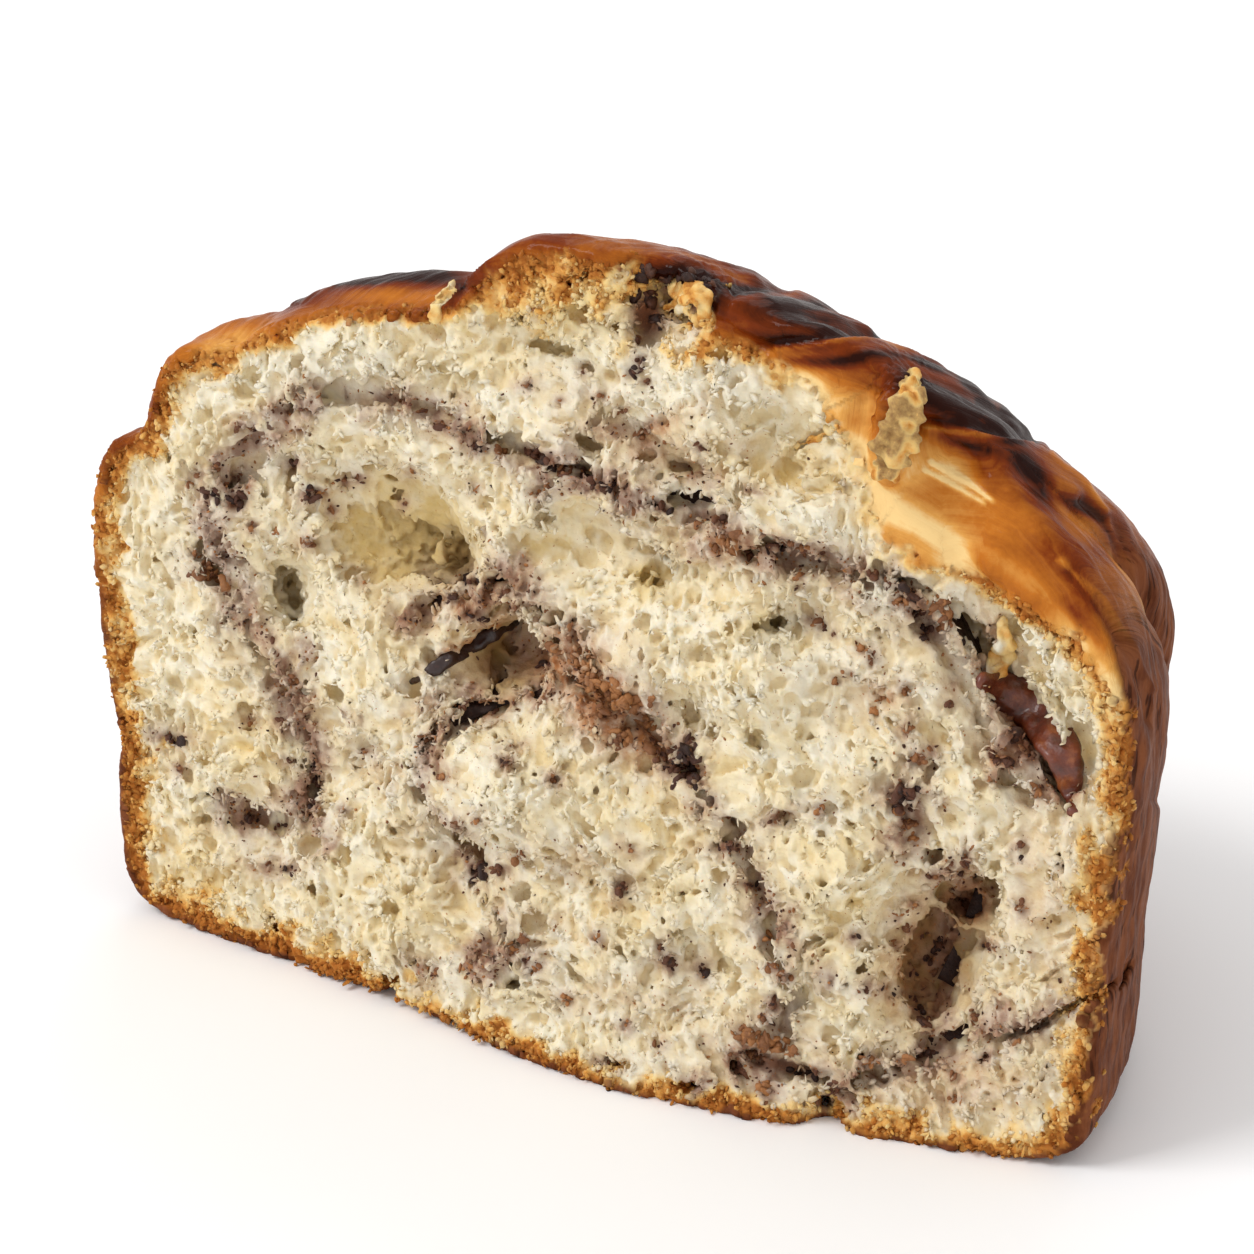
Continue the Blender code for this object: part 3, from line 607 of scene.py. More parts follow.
# Bits of filling: place in the picture, half length, half width, tilt, and how dark from 0 to 1.
BITS = (
    (241, 427, 7, 5, 0, .6), (217, 468, 6, 5, 0, .7), (201, 474, 5, 4, 0, .7), (190, 484, 4, 4, 0, .6),
    (235, 479, 6, 5, 0, .7), (214, 494, 9, 7, 0, 1), (235, 502, 11, 8, 0, 1), (251, 526, 4, 3, 0, .6),
    (294, 463, 6, 5, 0, 1), (312, 495, 9, 7, 0, 1), (321, 494, 5, 4, 0, .3), (332, 510, 4, 3, 0, .7),
    (344, 483, 5, 4, 0, .7), (359, 478, 4, 3, 0, .7), (405, 504, 3, 3, 0, .7), (359, 579, 6, 3, 40, .3),
    (310, 543, 9, 4, 10, .6), (277, 533, 4, 3, 0, .3), (208, 572, 15, 9, 20, .6), (222, 585, 9, 7, 0, .5),
    (195, 555, 5, 4, 0, .5), (227, 593, 4, 4, 0, .8), (269, 638, 4, 3, 0, .8), (277, 654, 4, 5, 0, .8),
    (292, 681, 5, 8, 0, .6), (251, 721, 5, 4, 0, .7), (278, 719, 4, 4, 0, .8), (171, 739, 13, 6, 12, 1),
    (180, 770, 4, 3, 0, .7), (289, 760, 5, 4, 0, .7), (317, 762, 5, 7, 0, 1), (317, 783, 5, 9, 0, 1),
    (316, 802, 4, 7, 0, 1), (246, 820, 17, 5, -8, 1), (281, 826, 8, 4, 0, .9), (308, 813, 5, 5, 0, .9),
    (344, 810, 4, 4, 0, .3), (286, 869, 8, 4, 0, 1), (268, 866, 6, 4, 0, .6), (364, 751, 6, 3, 0, .6),
    (423, 739, 6, 5, 0, .8), (442, 777, 7, 5, 30, .5), (423, 788, 4, 4, 0, .7), (456, 826, 5, 5, 0, .6),
    (476, 822, 5, 5, 0, .3), (478, 869, 10, 10, 0, 1), (502, 870, 10, 5, 0, .8), (518, 859, 6, 6, 0, .45),
    (478, 444, 7, 4, 20, 1), (486, 449, 5, 4, 0, 1), (468, 430, 8, 3, 25, .8), (500, 452, 7, 5, 10, .6),
    (545, 460, 14, 8, 25, 1), (530, 452, 8, 5, 25, .8), (560, 470, 10, 6, 20, .7), (585, 474, 8, 6, 10, 1),
    (606, 486, 13, 6, 8, 1), (640, 505, 6, 4, 0, .7), (660, 507, 10, 5, 25, 1), (719, 519, 9, 6, 10, .9),
    (700, 525, 6, 5, 0, .6), (729, 541, 13, 8, 0, .5), (746, 554, 8, 6, 0, .8), (716, 548, 8, 6, 0, .5),
    (775, 549, 14, 6, 0, 1), (802, 551, 10, 5, 8, .6), (751, 491, 9, 2, 12, 1), (788, 543, 16, 3, 8, .8),
    (820, 553, 9, 3, 15, .7), (467, 581, 6, 3, 0, 1), (499, 578, 5, 3, 0, .9), (435, 605, 9, 4, -20, 1),
    (450, 598, 7, 4, -15, .9), (472, 613, 10, 4, -6, 1), (483, 602, 5, 4, 0, .9), (483, 618, 6, 5, 0, 1),
    (505, 592, 6, 4, 0, .8), (515, 607, 6, 3, 0, .8), (515, 704, 5, 3, 0, .7), (494, 712, 5, 4, 0, .7),
    (462, 707, 8, 4, -15, .8), (427, 739, 5, 4, 0, .8), (545, 666, 8, 7, 0, 1), (555, 650, 8, 6, 0, .5),
    (575, 660, 10, 8, 30, .45), (590, 680, 12, 9, 40, .4), (610, 690, 12, 9, 40, .45),
    (630, 705, 12, 10, 30, .4), (645, 725, 10, 8, 40, .5), (600, 712, 9, 7, 20, .5),
    (625, 735, 9, 7, 40, .55), (655, 745, 9, 8, 0, .7), (570, 640, 6, 4, 0, .6), (590, 655, 7, 4, 30, .5),
    (650, 700, 7, 5, 30, .45), (615, 740, 10, 6, 30, .6), (684, 755, 10, 17, 10, 1), (673, 768, 8, 7, 0, 1),
    (690, 779, 7, 7, 0, 1), (664, 757, 8, 6, 0, .8), (697, 768, 5, 4, 0, .5), (571, 626, 5, 6, 0, .6),
    (504, 761, 5, 5, 0, 1), (512, 747, 9, 2, -8, .6), (554, 780, 4, 4, 0, .6), (629, 848, 7, 4, 30, .5),
    (621, 887, 6, 9, 30, .8), (727, 846, 16, 5, -8, .9), (775, 818, 16, 4, -20, .7), (748, 885, 9, 4, 10, 1),
    (661, 948, 4, 9, 10, .9), (667, 961, 6, 6, 0, .9), (597, 938, 6, 5, 30, .35), (701, 969, 6, 8, 0, 1),
    (774, 1006, 5, 6, 0, .9), (771, 1025, 5, 4, 0, 1), (762, 1017, 4, 4, 0, .8), (772, 968, 8, 5, 20, .6),
    (783, 976, 6, 5, 0, .6), (766, 939, 7, 5, 0, .35), (791, 946, 4, 3, 0, .6), (527, 961, 4, 8, 10, .9),
    (523, 940, 5, 6, 0, .6), (535, 968, 7, 5, 10, .5), (512, 945, 8, 5, 0, .35), (435, 972, 4, 9, 0, .6),
    (465, 968, 10, 4, -10, .45), (625, 1025, 4, 4, 0, .4), (657, 1044, 4, 4, 0, .8),
    (745, 1035, 14, 8, 10, .45), (770, 1043, 16, 9, 10, .5), (737, 1068, 12, 8, 40, .8),
    (752, 1055, 10, 7, 0, .6), (689, 1085, 9, 3, -6, .9), (712, 1081, 7, 3, 0, .8), (764, 1090, 7, 9, 0, .4),
    (790, 1052, 12, 6, 20, .5), (614, 1063, 12, 3, 4, .9), (566, 1000, 9, 5, 10, .45),
    (906, 793, 19, 8, 4, 1), (900, 803, 12, 8, 0, 1), (909, 823, 8, 9, 60, .6), (897, 812, 7, 5, 0, .5),
    (914, 838, 4, 9, 20, .5), (820, 812, 6, 6, 0, .5), (1022, 846, 5, 4, 0, .9), (1021, 860, 3, 2, 0, 1),
    (965, 864, 5, 11, 12, .9), (950, 866, 5, 6, 0, .6), (934, 877, 7, 4, -20, .7), (1021, 906, 5, 8, 0, .6),
    (854, 937, 5, 3, 0, .9), (866, 986, 5, 5, 0, .9), (883, 988, 6, 3, -20, .9), (898, 993, 6, 3, -10, 1),
    (914, 905, 6, 5, 0, .5), (900, 915, 5, 5, 0, .4), (908, 930, 6, 4, 0, .6), (895, 945, 6, 4, 0, .5),
    (911, 972, 6, 4, 10, .9), (925, 985, 6, 4, 0, .6), (941, 945, 8, 7, 0, 1), (930, 960, 9, 5, 0, 1),
    (935, 972, 7, 5, 0, .7), (951, 960, 4, 5, 0, 1), (925, 935, 6, 5, 0, .8), (986, 945, 6, 5, 0, .9),
    (930, 1055, 14, 6, 8, 1), (919, 1010, 8, 6, 30, 1), (927, 1023, 6, 6, 0, .9), (915, 998, 7, 4, 30, .8),
    (973, 1017, 5, 9, 10, .7), (984, 1057, 9, 4, -25, .9), (1016, 1041, 4, 4, 0, .6),
    (954, 1076, 4, 5, 0, .6), (809, 1071, 16, 6, 10, 1), (834, 1090, 10, 8, 20, .8), (822, 1100, 6, 6, 0, .6),
    (858, 1082, 6, 5, 0, .5), (870, 1062, 10, 6, -10, .4), (905, 1060, 12, 6, -5, .5),
    (792, 911, 4, 3, 0, .5), (914, 1114, 5, 3, 0, .6), (954, 1100, 13, 4, 4, .45), (874, 575, 12, 5, 35, .7),
    (890, 583, 9, 5, 30, .8), (909, 591, 12, 6, 30, 1), (919, 613, 8, 6, 0, .9), (900, 602, 10, 6, 30, .5),
    (930, 634, 10, 6, -10, 1), (938, 607, 11, 8, 0, .5), (945, 622, 8, 8, 0, .5), (871, 658, 5, 9, -10, .7),
    (862, 650, 6, 5, 0, .5), (834, 634, 3, 3, 0, .9), (848, 674, 7, 4, 0, .6), (838, 682, 5, 4, 0, .5),
    (882, 699, 8, 5, 10, .4), (872, 712, 5, 5, 0, .35), (908, 728, 5, 8, 20, .6), (931, 753, 3, 6, 0, .6),
    (951, 705, 6, 5, 0, .8), (905, 688, 6, 8, 0, .5), (1005, 761, 15, 6, 20, .9), (1018, 736, 10, 12, 30, 1),
    (992, 779, 7, 3, -30, .35), (1037, 792, 6, 7, 0, .5), (917, 760, 10, 8, 0, .55), (797, 587, 3, 3, 0, .9),
    (813, 621, 9, 5, 20, .6), (822, 627, 5, 4, 0, .8), (800, 575, 6, 5, 0, .5), (640, 436, 6, 4, 0, .6),
    (700, 448, 8, 4, 20, .8), (652, 425, 9, 4, -20, .6), (620, 412, 9, 4, -30, .7), (634, 372, 9, 5, -20, 1),
    (640, 362, 6, 5, 0, 1), (645, 382, 6, 4, 0, .9), (600, 395, 5, 3, 0, .6), (583, 372, 4, 3, 0, .7),
    (536, 309, 3, 3, 0, .6), (526, 385, 5, 3, 0, .6), (560, 400, 4, 3, 0, .6), (404, 402, 9, 4, 20, .8),
    (388, 396, 6, 3, 0, .9), (422, 412, 7, 4, 20, .7), (300, 430, 5, 3, 0, .4), (645, 275, 9, 9, 0, 1),
    (650, 298, 9, 10, 0, 1), (656, 322, 7, 8, 0, 1), (668, 282, 8, 6, 0, .9), (686, 276, 14, 6, 10, 1),
    (712, 284, 12, 5, 14, 1), (640, 340, 5, 5, 0, .8), (672, 306, 7, 6, 0, .9), (440, 425, 8, 5, 10, .7),
    (412, 470, 4, 5, 0, .3), (538, 494, 3, 8, 5, .3), (475, 488, 4, 4, 0, .3))


def line_distance(x, y, line):
    best = np.full(len(x), 1e9)
    for (ax, ay), (bx, by) in zip(line, line[1:]):
        run_x, run_y = bx - ax, by - ay
        along = np.clip(((x - ax) * run_x + (y - ay) * run_y) / (run_x ** 2 + run_y ** 2), 0, 1)
        best = np.minimum(best, np.hypot(x - ax - along * run_x, y - ay - along * run_y))
    return best


def patches(table, sharpness=2.0):
    """The strongest of several soft ovals of the picture at each point of the skin."""
    total = np.zeros(len(skin_points))
    for x, y, half_long, half_wide, tilt, strength in table:
        turn = math.radians(tilt)
        reach = 2.6 * max(half_long, half_wide)
        near = np.flatnonzero((np.abs(picture_x - x) < reach) & (np.abs(picture_y - y) < reach))
        off_x, off_y = picture_x[near] - x, picture_y[near] - y
        along = off_x * math.cos(turn) + off_y * math.sin(turn)
        across = off_y * math.cos(turn) - off_x * math.sin(turn)
        share = strength * np.exp(-np.hypot(along / half_long, across / half_wide) ** sharpness)
        total[near] = np.maximum(total[near], share)
    return total


crumb = 1 - crust
cloud = noise_read(CLUMPS, skin_points * 1.0 + 40)
speckle = noise_read(SHREDS, skin_points * 1.0 + 90)
swirl_distance = np.min([line_distance(picture_x, picture_y, line) for line in SWIRL_LINES.values()], axis=0)
broken = noise_read(BROAD, skin_points * 1.3 + 17)
seam = np.exp(-(swirl_distance / (STAIN_WIDTH * (1 + 0.3 * broken))) ** 2)
beside_bits = patches([(x, y, 1.9 * a + 5, 1.9 * b + 5, tilt, 0.9) for x, y, a, b, tilt, _ in BITS])
under_bits = patches([(x, y, 1.15 * a, 1.15 * b, tilt, 0.25 + 0.75 * dark)
                      for x, y, a, b, tilt, dark in BITS], 4)
mauve = np.maximum(np.maximum(0.95 * seam * (0.9 + 0.3 * broken), patches(MAUVE_PATCHES)), 0.8 * beside_bits)
clean = np.clip(patches(WHITE_PATCHES) * (0.9 + 0.3 * cloud), 0, 1) * crumb
mauve = np.clip(mauve * (0.95 + 0.3 * cloud + 0.15 * speckle), 0, 1) * crumb * (1 - 0.85 * clean)
cocoa = (1 - 0.7 * clean) * ramp(0.75 * np.exp(-(swirl_distance / (0.8 * STAIN_WIDTH)) ** 2)
                                 + 0.22 * speckle + 0.2 * broken, 0.66, 1.05)
# Painted shade: slits and holes are coloured dark like cocoa and lose their toast; at the crown this is
# partly real filling.
gap_filling_and_shade = patches(GAP_FILLING_AND_SHADE_PATCHES, 4.0)
cocoa = np.clip(np.maximum(np.maximum(0.6 * cocoa, gap_filling_and_shade), under_bits * (0.75 + 0.2 * speckle)), 0, 1) * crumb
caramel = np.clip(patches(CARAMEL_PATCHES) * (0.9 + 0.3 * speckle), 0, 1) * crumb
# Yellow is partly egg colour and partly painted shade, deeper in hollows and in pits between ridges.
yellow = patches(YELLOW_AND_SHADE_PATCHES) * (0.85 + 0.25 * cloud) + 0.5 * hollow + 0.42 * ramp(-ridge, 0.0, 0.22)
yellow = np.clip(yellow, 0, 1) * crumb
around = np.degrees(np.arctan2(skin_points[:, 2] - CORE[1], skin_points[:, 0] - CORE[0]))
toast_reach = np.interp(around, *np.array(TOAST_REACH).T)
toast = 1 - ramp(past_crust + 0.22 * cloud * toast_reach, -0.1 * toast_reach, 1.25 * toast_reach)
toast *= np.interp(around, (28, 36, 58, 66), (1, 0.42, 0.42, 1))
foot_crust = (1 - ramp(foot_inset, 0.8, 3.4)) * (skin_points[:, 2] < 6)
toast = np.clip(toast + 0.32 * foot_crust * ramp(-skin_points[:, 0], 8, 30), 0, 1.15) * (1 - 0.9 * gap_filling_and_shade)
print("mauve, cocoa, caramel:", *(round(float(v.mean()), 3) for v in (mauve, cocoa, caramel)))

# %% [markdown]
# The crust was twisted from strands before baking, and its skin is streaked along them. The crest of each
# strand is found by looking out from the core of the loaf. Every crust point then knows how far along a
# strand it lies and how far to its side, so that streaks and colour can follow the twist.
# %% Lines of the strands
STRANDS = (
    (((133, -2), (128, 8), (116, 26), (94, 40), (55, 50)), 13.0),
    (((94, -3), (88, 6), (78, 20), (60, 36), (39, 46)), 14.0),
    (((72, -2), (64, 8), (54, 22), (40, 36), (29, 45)), 7.0),
    (((58, -1), (51, 7), (42, 18), (32, 30), (24, 40)), 6.5),
    (((48, 0), (41, 6), (33, 13), (24, 22), (14, 32)), 6.5),
    (((47, -1), (35, 2), (21, 5), (8, 9), (-12, 13)), 9.0),
    (((152, 2), (151, 16), (149, 34), (138, 50)), 12.0),
    (((137, 14), (153, 24), (186, 34)), 9.0),
    (((24, 38), (43, 52), (84, 58)), 10.0),
)
ROUTE_STEPS = 4
WALL_TOP = 34.0


def on_crust(angle, depth):
    outward = Vector((math.cos(angle), 0.0, math.sin(angle)))
    start = outward * LOOK_FROM + Vector((CORE[0], TEAR_Y + max(depth, 0.5),
                                          CORE[1] * (1 - (max(depth, 0) / 90) ** 2)))
    hit = body_tree.ray_cast(start, -outward)[0]
    return None if hit is None else np.array(hit)


along_strand = np.zeros(len(skin_points))
across_strand = np.zeros(len(skin_points))
strand_number = np.zeros(len(skin_points))
crust_picks = np.flatnonzero(crust > 0.02)
crust_points, crust_normals = skin_points[crust_picks], skin_normals[crust_picks]
nearest = np.full(len(crust_picks), 1e9)
for number, (stations, width) in enumerate(STRANDS):
    angles, depths = np.array(stations, float).T
    steps = np.linspace(0, len(stations) - 1, (len(stations) - 1) * ROUTE_STEPS + 1)
    marks = np.arange(len(stations))
    route = [on_crust(math.radians(a), d)
             for a, d in zip(np.interp(steps, marks, angles), np.interp(steps, marks, depths))]
    route = [place for place in route if place is not None]
    travelled = 0.0
    for start, end in zip(route, route[1:]):
        run = end - start
        length = np.linalg.norm(run)
        if length < 1e-6:
            continue
        away = crust_points - start
        share = np.clip(away @ run / length ** 2, 0, 1)
        off = away - share[:, None] * run
        distance = np.linalg.norm(off, axis=1) / width
        closer = distance < nearest
        side = np.einsum("ij,ij->i", off, np.cross(crust_normals, run / length))
        nearest[closer] = distance[closer]
        picks = crust_picks[closer]
        along_strand[picks] = travelled + share[closer] * length
        across_strand[picks] = side[closer]
        strand_number[picks] = number
        travelled += length
# Wall colour: the tin-baked wall low down, and painted shade on the side that faces right.
wall = 1 - ramp(skin_points[:, 2], WALL_TOP - 6, WALL_TOP + 14)
wall = np.maximum(wall, ramp(skin_normals[:, 0], 0.62, 0.93) * (1 - ramp(skin_points[:, 2], 52, 66)))
plan_turn = np.arctan2(skin_points[:, 1] - 2, skin_points[:, 0] * 0.6) * 40
print("crust points:", len(crust_picks), "within a strand:", int((nearest < 1).sum()))

# %% [markdown]
# How dark the crust baked depends on how far it stands up, but also on the glaze and the oven. The dark
# crests and the pale torn flanks that the picture shows are set by pixel, as darker and paler patches, as
# pale lines where one strand lies against the next, and as darker lines along the grooves between
# strands, which are painted shade.
# %% Bake of the crust
DARK_CRUST = (
    (370, 279, 85, 9, -6, .62), (300, 299, 30, 8, -26, .5), (425, 275, 40, 10, 6, .55),
    (395, 332, 26, 4, 12, .8), (388, 326, 12, 3, 20, .8), (402, 344, 20, 3, 8, .5),
    (735, 262, 36, 9, 26, .45), (700, 255, 40, 6, 14, .25), (680, 290, 46, 20, 12, .9),
    (650, 300, 22, 30, 0, .6), (745, 290, 30, 7, 4, .75), (800, 306, 46, 9, 6, .6),
    (872, 312, 28, 8, 14, .85), (830, 322, 90, 15, 10, .5), (905, 345, 26, 10, 40, .4),
    (790, 340, 60, 10, 8, .34), (840, 360, 90, 7, -2, .4), (930, 366, 36, 6, 24, .5),
    (975, 388, 30, 8, 32, .6), (945, 398, 60, 20, 22, .55), (1008, 428, 22, 17, 40, 1.0),
    (990, 412, 24, 8, 40, .8), (975, 447, 40, 7, 16, .34), (1028, 470, 38, 12, 44, .55),
    (1042, 492, 20, 12, 40, .5), (1078, 505, 34, 7, 26, .5), (1065, 455, 26, 10, 46, .36),
    (1105, 545, 20, 24, 52, .2), (1020, 590, 70, 12, 36, .22), (1085, 625, 50, 10, 50, .24),
    (1168, 600, 8, 40, -14, .5), (1166, 520, 12, 30, -20, .3), (560, 262, 60, 5, -8, .12),
    (1136, 720, 8, 60, 0, .25))
PALE_CRUST = (
    (235, 350, 60, 22, -16, .42), (330, 322, 60, 12, -4, .2), (186, 380, 20, 26, 0, .3),
    (415, 300, 60, 12, 4, .18), (590, 262, 90, 12, -2, .16), (845, 395, 52, 20, 12, .22),
    (800, 385, 40, 18, 10, .42), (895, 460, 50, 24, 10, .4), (950, 470, 46, 14, 36, .42),
    (965, 480, 40, 5, 36, .5), (1000, 510, 60, 26, 30, .12), (930, 530, 70, 16, 30, .42),
    (1010, 572, 70, 15, 34, .3), (1070, 625, 50, 13, 44, .32), (1108, 700, 14, 60, 0, .4),
    (1105, 800, 14, 70, 0, .4), (1098, 920, 16, 70, 0, .4), (1085, 1030, 18, 50, 15, .35),
    (100, 520, 14, 60, 0, .3), (108, 640, 14, 60, 10, .3), (130, 820, 14, 50, 0, .3),
    (690, 330, 50, 20, 10, .1))
SEAM_LINES = (
    ((776, 348), (830, 342), (879, 341), (923, 357), (955, 373), (985, 392)),
    ((923, 427), (960, 430), (1000, 440), (1032, 443)), ((1060, 560), (1100, 600), (1130, 645), (1152, 690)),
    ((1076, 577), (1112, 622), (1138, 668)), ((1108, 520), (1135, 570), (1150, 630), (1158, 690)),
    ((930, 462), (965, 480), (993, 500)), ((925, 470), (955, 486), (985, 503)),
    ((1050, 455), (1085, 486), (1105, 512)))
# Grooves between strands are cut into the crust and also darkened in colour as painted shade.
GROOVE_LINES = (
    ((740, 352), (776, 343), (830, 336), (879, 335), (925, 350), (958, 366), (990, 386)),
    ((900, 436), (925, 421), (962, 424), (1002, 434), (1036, 438)), ((735, 292), (760, 284), (790, 286)),
    ((1084, 500), (1112, 530), (1140, 580), (1154, 640), (1160, 720), (1158, 800)),
    ((445, 318), (452, 300), (462, 288)), ((1070, 572), (1106, 616), (1136, 668), (1150, 720)))
GROOVE_HALF_WIDTH = 6.0
SEAM_HALF_WIDTH = 2.6
seam_line = np.exp(-(np.min([line_distance(picture_x, picture_y, line) for line in SEAM_LINES], axis=0)
                     / SEAM_HALF_WIDTH) ** 2)
groove_and_shade = np.exp(-(np.min([line_distance(picture_x, picture_y, line) for line in GROOVE_LINES], axis=0)
                  / GROOVE_HALF_WIDTH) ** 2)
in_view = ramp(skin_normals @ toward_camera, -0.25, 0.1)
bake_noise = noise_read(CLUMPS, skin_points * np.array([0.5, 0.5, 0.8]) + 7)
generic_bake = 0.42 + 0.75 * np.clip(crest, -0.3, 0.55) + 0.10 * noise_read(BROAD, skin_points)
generic_bake += 0.10 * ramp(skin_points[:, 2], 55, 80)
view_bake = (0.47 + 0.35 * np.clip(crest, -0.3, 0.4) + patches(DARK_CRUST) - patches(PALE_CRUST)
             + 0.03 * bake_noise)
# Painted shade: the grooves are darkened in colour; the seams are paler.
view_bake += 0.25 * groove_and_shade - 0.3 * seam_line
bake = generic_bake + (view_bake - generic_bake) * in_view * ramp(60 - behind, 0, 12)
print("bake:", np.round(np.percentile(bake[crust > 0.5], (2, 50, 98)), 2))

# %% [markdown]
# Relief too fine for the grid is added by moving points along their normals: grains at the toasted rim,
# streaks and wrinkles on the crust, and a soft raggedness on the crumb.
# %% Fine relief
FLAKY_PATCHES = ((893, 425, 24, 50, 8, 1.0), (690, 300, 40, 26, 0, 0.8), (760, 375, 50, 24, 8, 0.7))
streak_place = np.stack([along_strand * 0.12 + strand_number * 11, across_strand,
                         strand_number * 7.3], axis=1)
wall_place = np.stack([plan_turn, np.full(len(skin_points), 5.0), skin_points[:, 2] * 0.1], axis=1)
strand_streaks = noise_read(CLUMPS, streak_place * 2.4)
wall_streaks = noise_read(CLUMPS, wall_place * 2.0)
streaks = strand_streaks * (1 - wall) + wall_streaks * wall
wrinkles = np.abs(noise_read(FRILLS, streak_place * np.array([3.0, 1.0, 1.0])))
grainy = toast * (1 - ramp(crust, 0.4, 1.0))
flaky = patches(FLAKY_PATCHES)
lift = crust * (0.05 * streaks + 0.07 * noise_read(CLUMPS, skin_points * 0.8)
                + 0.9 * np.clip(crest, -0.55, 0.45))
lift -= crust * 0.05 * wrinkles * ramp(crest, 0.1, 0.5)
lift += (crust * (0.25 * seam_line - 0.55 * groove_and_shade)
         + crust * flaky * (0.35 * noise_read(GRAINS, skin_points) + 0.2 * noise_read(FRILLS, skin_points)))
lift += grainy * 0.20 * noise_read(GRAINS, skin_points * 1.1)
lift += crumb * 0.09 * noise_read(GRAINS, skin_points * 1.0 + 13)
skin_points = skin_points + skin_normals * lift[:, None]
box_high = np.array(CAD_HIGH) / MM
skin_points[:, 2] = np.clip(skin_points[:, 2], 0.0, box_high[2] + 0.4)
skin_normals = point_normals(skin_points, skin_faces)
print("relief in mm:", np.round(np.percentile(lift, (1, 50, 99)), 2))

# %% [markdown]
# Node materials are easier to read as sums, so a small class wraps the output of a node. Adding or
# multiplying two of them adds a Math node. Every other node comes from one method, which takes its kind,
# its settings and what its sockets get.
# %% A small material kit
def linear(red, green, blue):
    """A colour given as a screen shows it, in 0 to 255, as the shader needs it."""
    parts = [value / 255 for value in (red, green, blue)]
    return tuple(p / 12.92 if p <= 0.04045 else ((p + 0.055) / 1.055) ** 2.4 for p in parts) + (1.0,)


class Output:
    def __init__(self, finish, socket):
        self.finish, self.socket = finish, socket

    def maths(self, operation, left, right=0.0):
        return self.finish.node("ShaderNodeMath", {"operation": operation}, {0: left, 1: right})

    def __add__(self, other):
        return self.maths("ADD", self, other)

    def __radd__(self, other):
        return self.maths("ADD", other, self)

    def __sub__(self, other):
        return self.maths("SUBTRACT", self, other)

    def __rsub__(self, other):
        return self.maths("SUBTRACT", other, self)

    def __mul__(self, other):
        return self.maths("MULTIPLY", self, other)

    def __rmul__(self, other):
        return self.maths("MULTIPLY", other, self)


class Finish:
    """A material whose nodes are written as expressions."""

    def __init__(self, name):
        self.material = bpy.data.materials.new(name)
        self.material.use_nodes = True
        self.tree = self.material.node_tree
        self.tree.nodes.clear()
        self.place = self.node("ShaderNodeMapping", {}, {
            "Vector": self.node("ShaderNodeTexCoord", {}, {}, "Object"), "Scale": (1 / MM,) * 3})

    def node(self, kind, settings, inputs, output=0):
        made = self.tree.nodes.new(kind)
        for key, value in settings.items():
            if key == "stops":
                ramp_stops = made.color_ramp.elements
                while len(ramp_stops) < len(value):
                    ramp_stops.new(0.5)
                for stop, (position, colour) in zip(ramp_stops, value):
                    stop.position, stop.color = position, colour
            else:
                setattr(made, key, value)
        for key, value in inputs.items():
            if isinstance(value, Output):
                self.tree.links.new(value.socket, made.inputs[key])
            else:
                made.inputs[key].default_value = value
        return Output(self, made.outputs[output]) if made.outputs else None

    def measured(self, name, output="Fac"):
        return self.node("ShaderNodeAttribute", {"attribute_name": name}, {}, output)

    def noise(self, scale, detail=3.0, rough=0.55, place=None, stretch=None, warp=0.0):
        where = place or self.place
        if stretch:
            where = self.node("ShaderNodeMapping", {}, {"Vector": where, "Scale": stretch})
        return self.node("ShaderNodeTexNoise", {}, {"Vector": where, "Scale": scale, "Detail": detail,
                                                    "Roughness": rough, "Distortion": warp}, "Fac")

    def between(self, value, low, high, to_low=0.0, to_high=1.0):
        return self.node("ShaderNodeMapRange", {"interpolation_type": "SMOOTHSTEP"},
                         {0: value, 1: low, 2: high, 3: to_low, 4: to_high})

    def mix(self, share, first, second):
        return self.node("ShaderNodeMix", {"data_type": "RGBA"}, {0: share, 6: first, 7: second}, 2)

    def bump(self, height, distance, strength=1.0, normal=None):
        inputs = {"Height": height, "Distance": distance * MM, "Strength": strength}
        if normal:
            inputs["Normal"] = normal
        return self.node("ShaderNodeBump", {}, inputs)

    def principled(self, inputs):
        return self.node("ShaderNodeBsdfPrincipled", {}, inputs)

    def finished(self, shader):
        self.node("ShaderNodeOutputMaterial", {}, {"Surface": shader})
        return self.material


print("material kit ready")

# %% [markdown]
# Baked dough is one material with two faces. Torn crumb is pale, matt and lets light in; crust is a thin
# glazed skin from gold to almost black. The measured numbers choose between them, and node noise adds what
# is finer than the mesh: flecks of vanilla and cocoa, threads, grains, and streaks along the strands.
# %% Baked dough
CREAM, WHITE_CRUMB = linear(234, 218, 180), linear(238, 230, 208)
# Both yellows also paint shade: the first in hollows and pits, the second deep in hollows, slits and pits.
EGG_YELLOW_AND_SHADE, HOLLOW_SHADE_YELLOW = linear(222, 194, 128), linear(122, 86, 28)
MAUVE_STAIN, GREY_STAIN = linear(166, 126, 104), linear(188, 164, 146)
# The cocoa colour is also painted into slits and holes as painted shade.
COCOA_AND_GAP_SHADE, CARAMEL_STAIN = linear(112, 70, 48), linear(178, 116, 64)
TOAST_PALE, TOAST_GOLD, TOAST_BROWN = linear(236, 198, 122), linear(216, 150, 66), linear(162, 90, 30)
CRUST_PALE, CRUST_GOLD = linear(222, 162, 82), linear(186, 110, 36)
CRUST_RED, CRUST_DARK = linear(118, 48, 12), linear(40, 12, 5)
# The wall browns also carry painted shade on the side that faces right.
WALL_BROWN_AND_SHADE, WALL_DARK_AND_SHADE, WALL_CRACK = linear(126, 74, 46), linear(92, 48, 28), linear(44, 20, 12)
CRUST_PEELED = linear(242, 208, 144)

dough_finish = Finish("baked_dough")
made = dough_finish
crust_share, toasted = made.measured("crust"), made.measured("toast")
fine = made.noise(1.6, 4.0, 0.62)
soft = made.noise(0.35, 2.0)
fleck = made.noise(3.2, 1.0, 0.5)

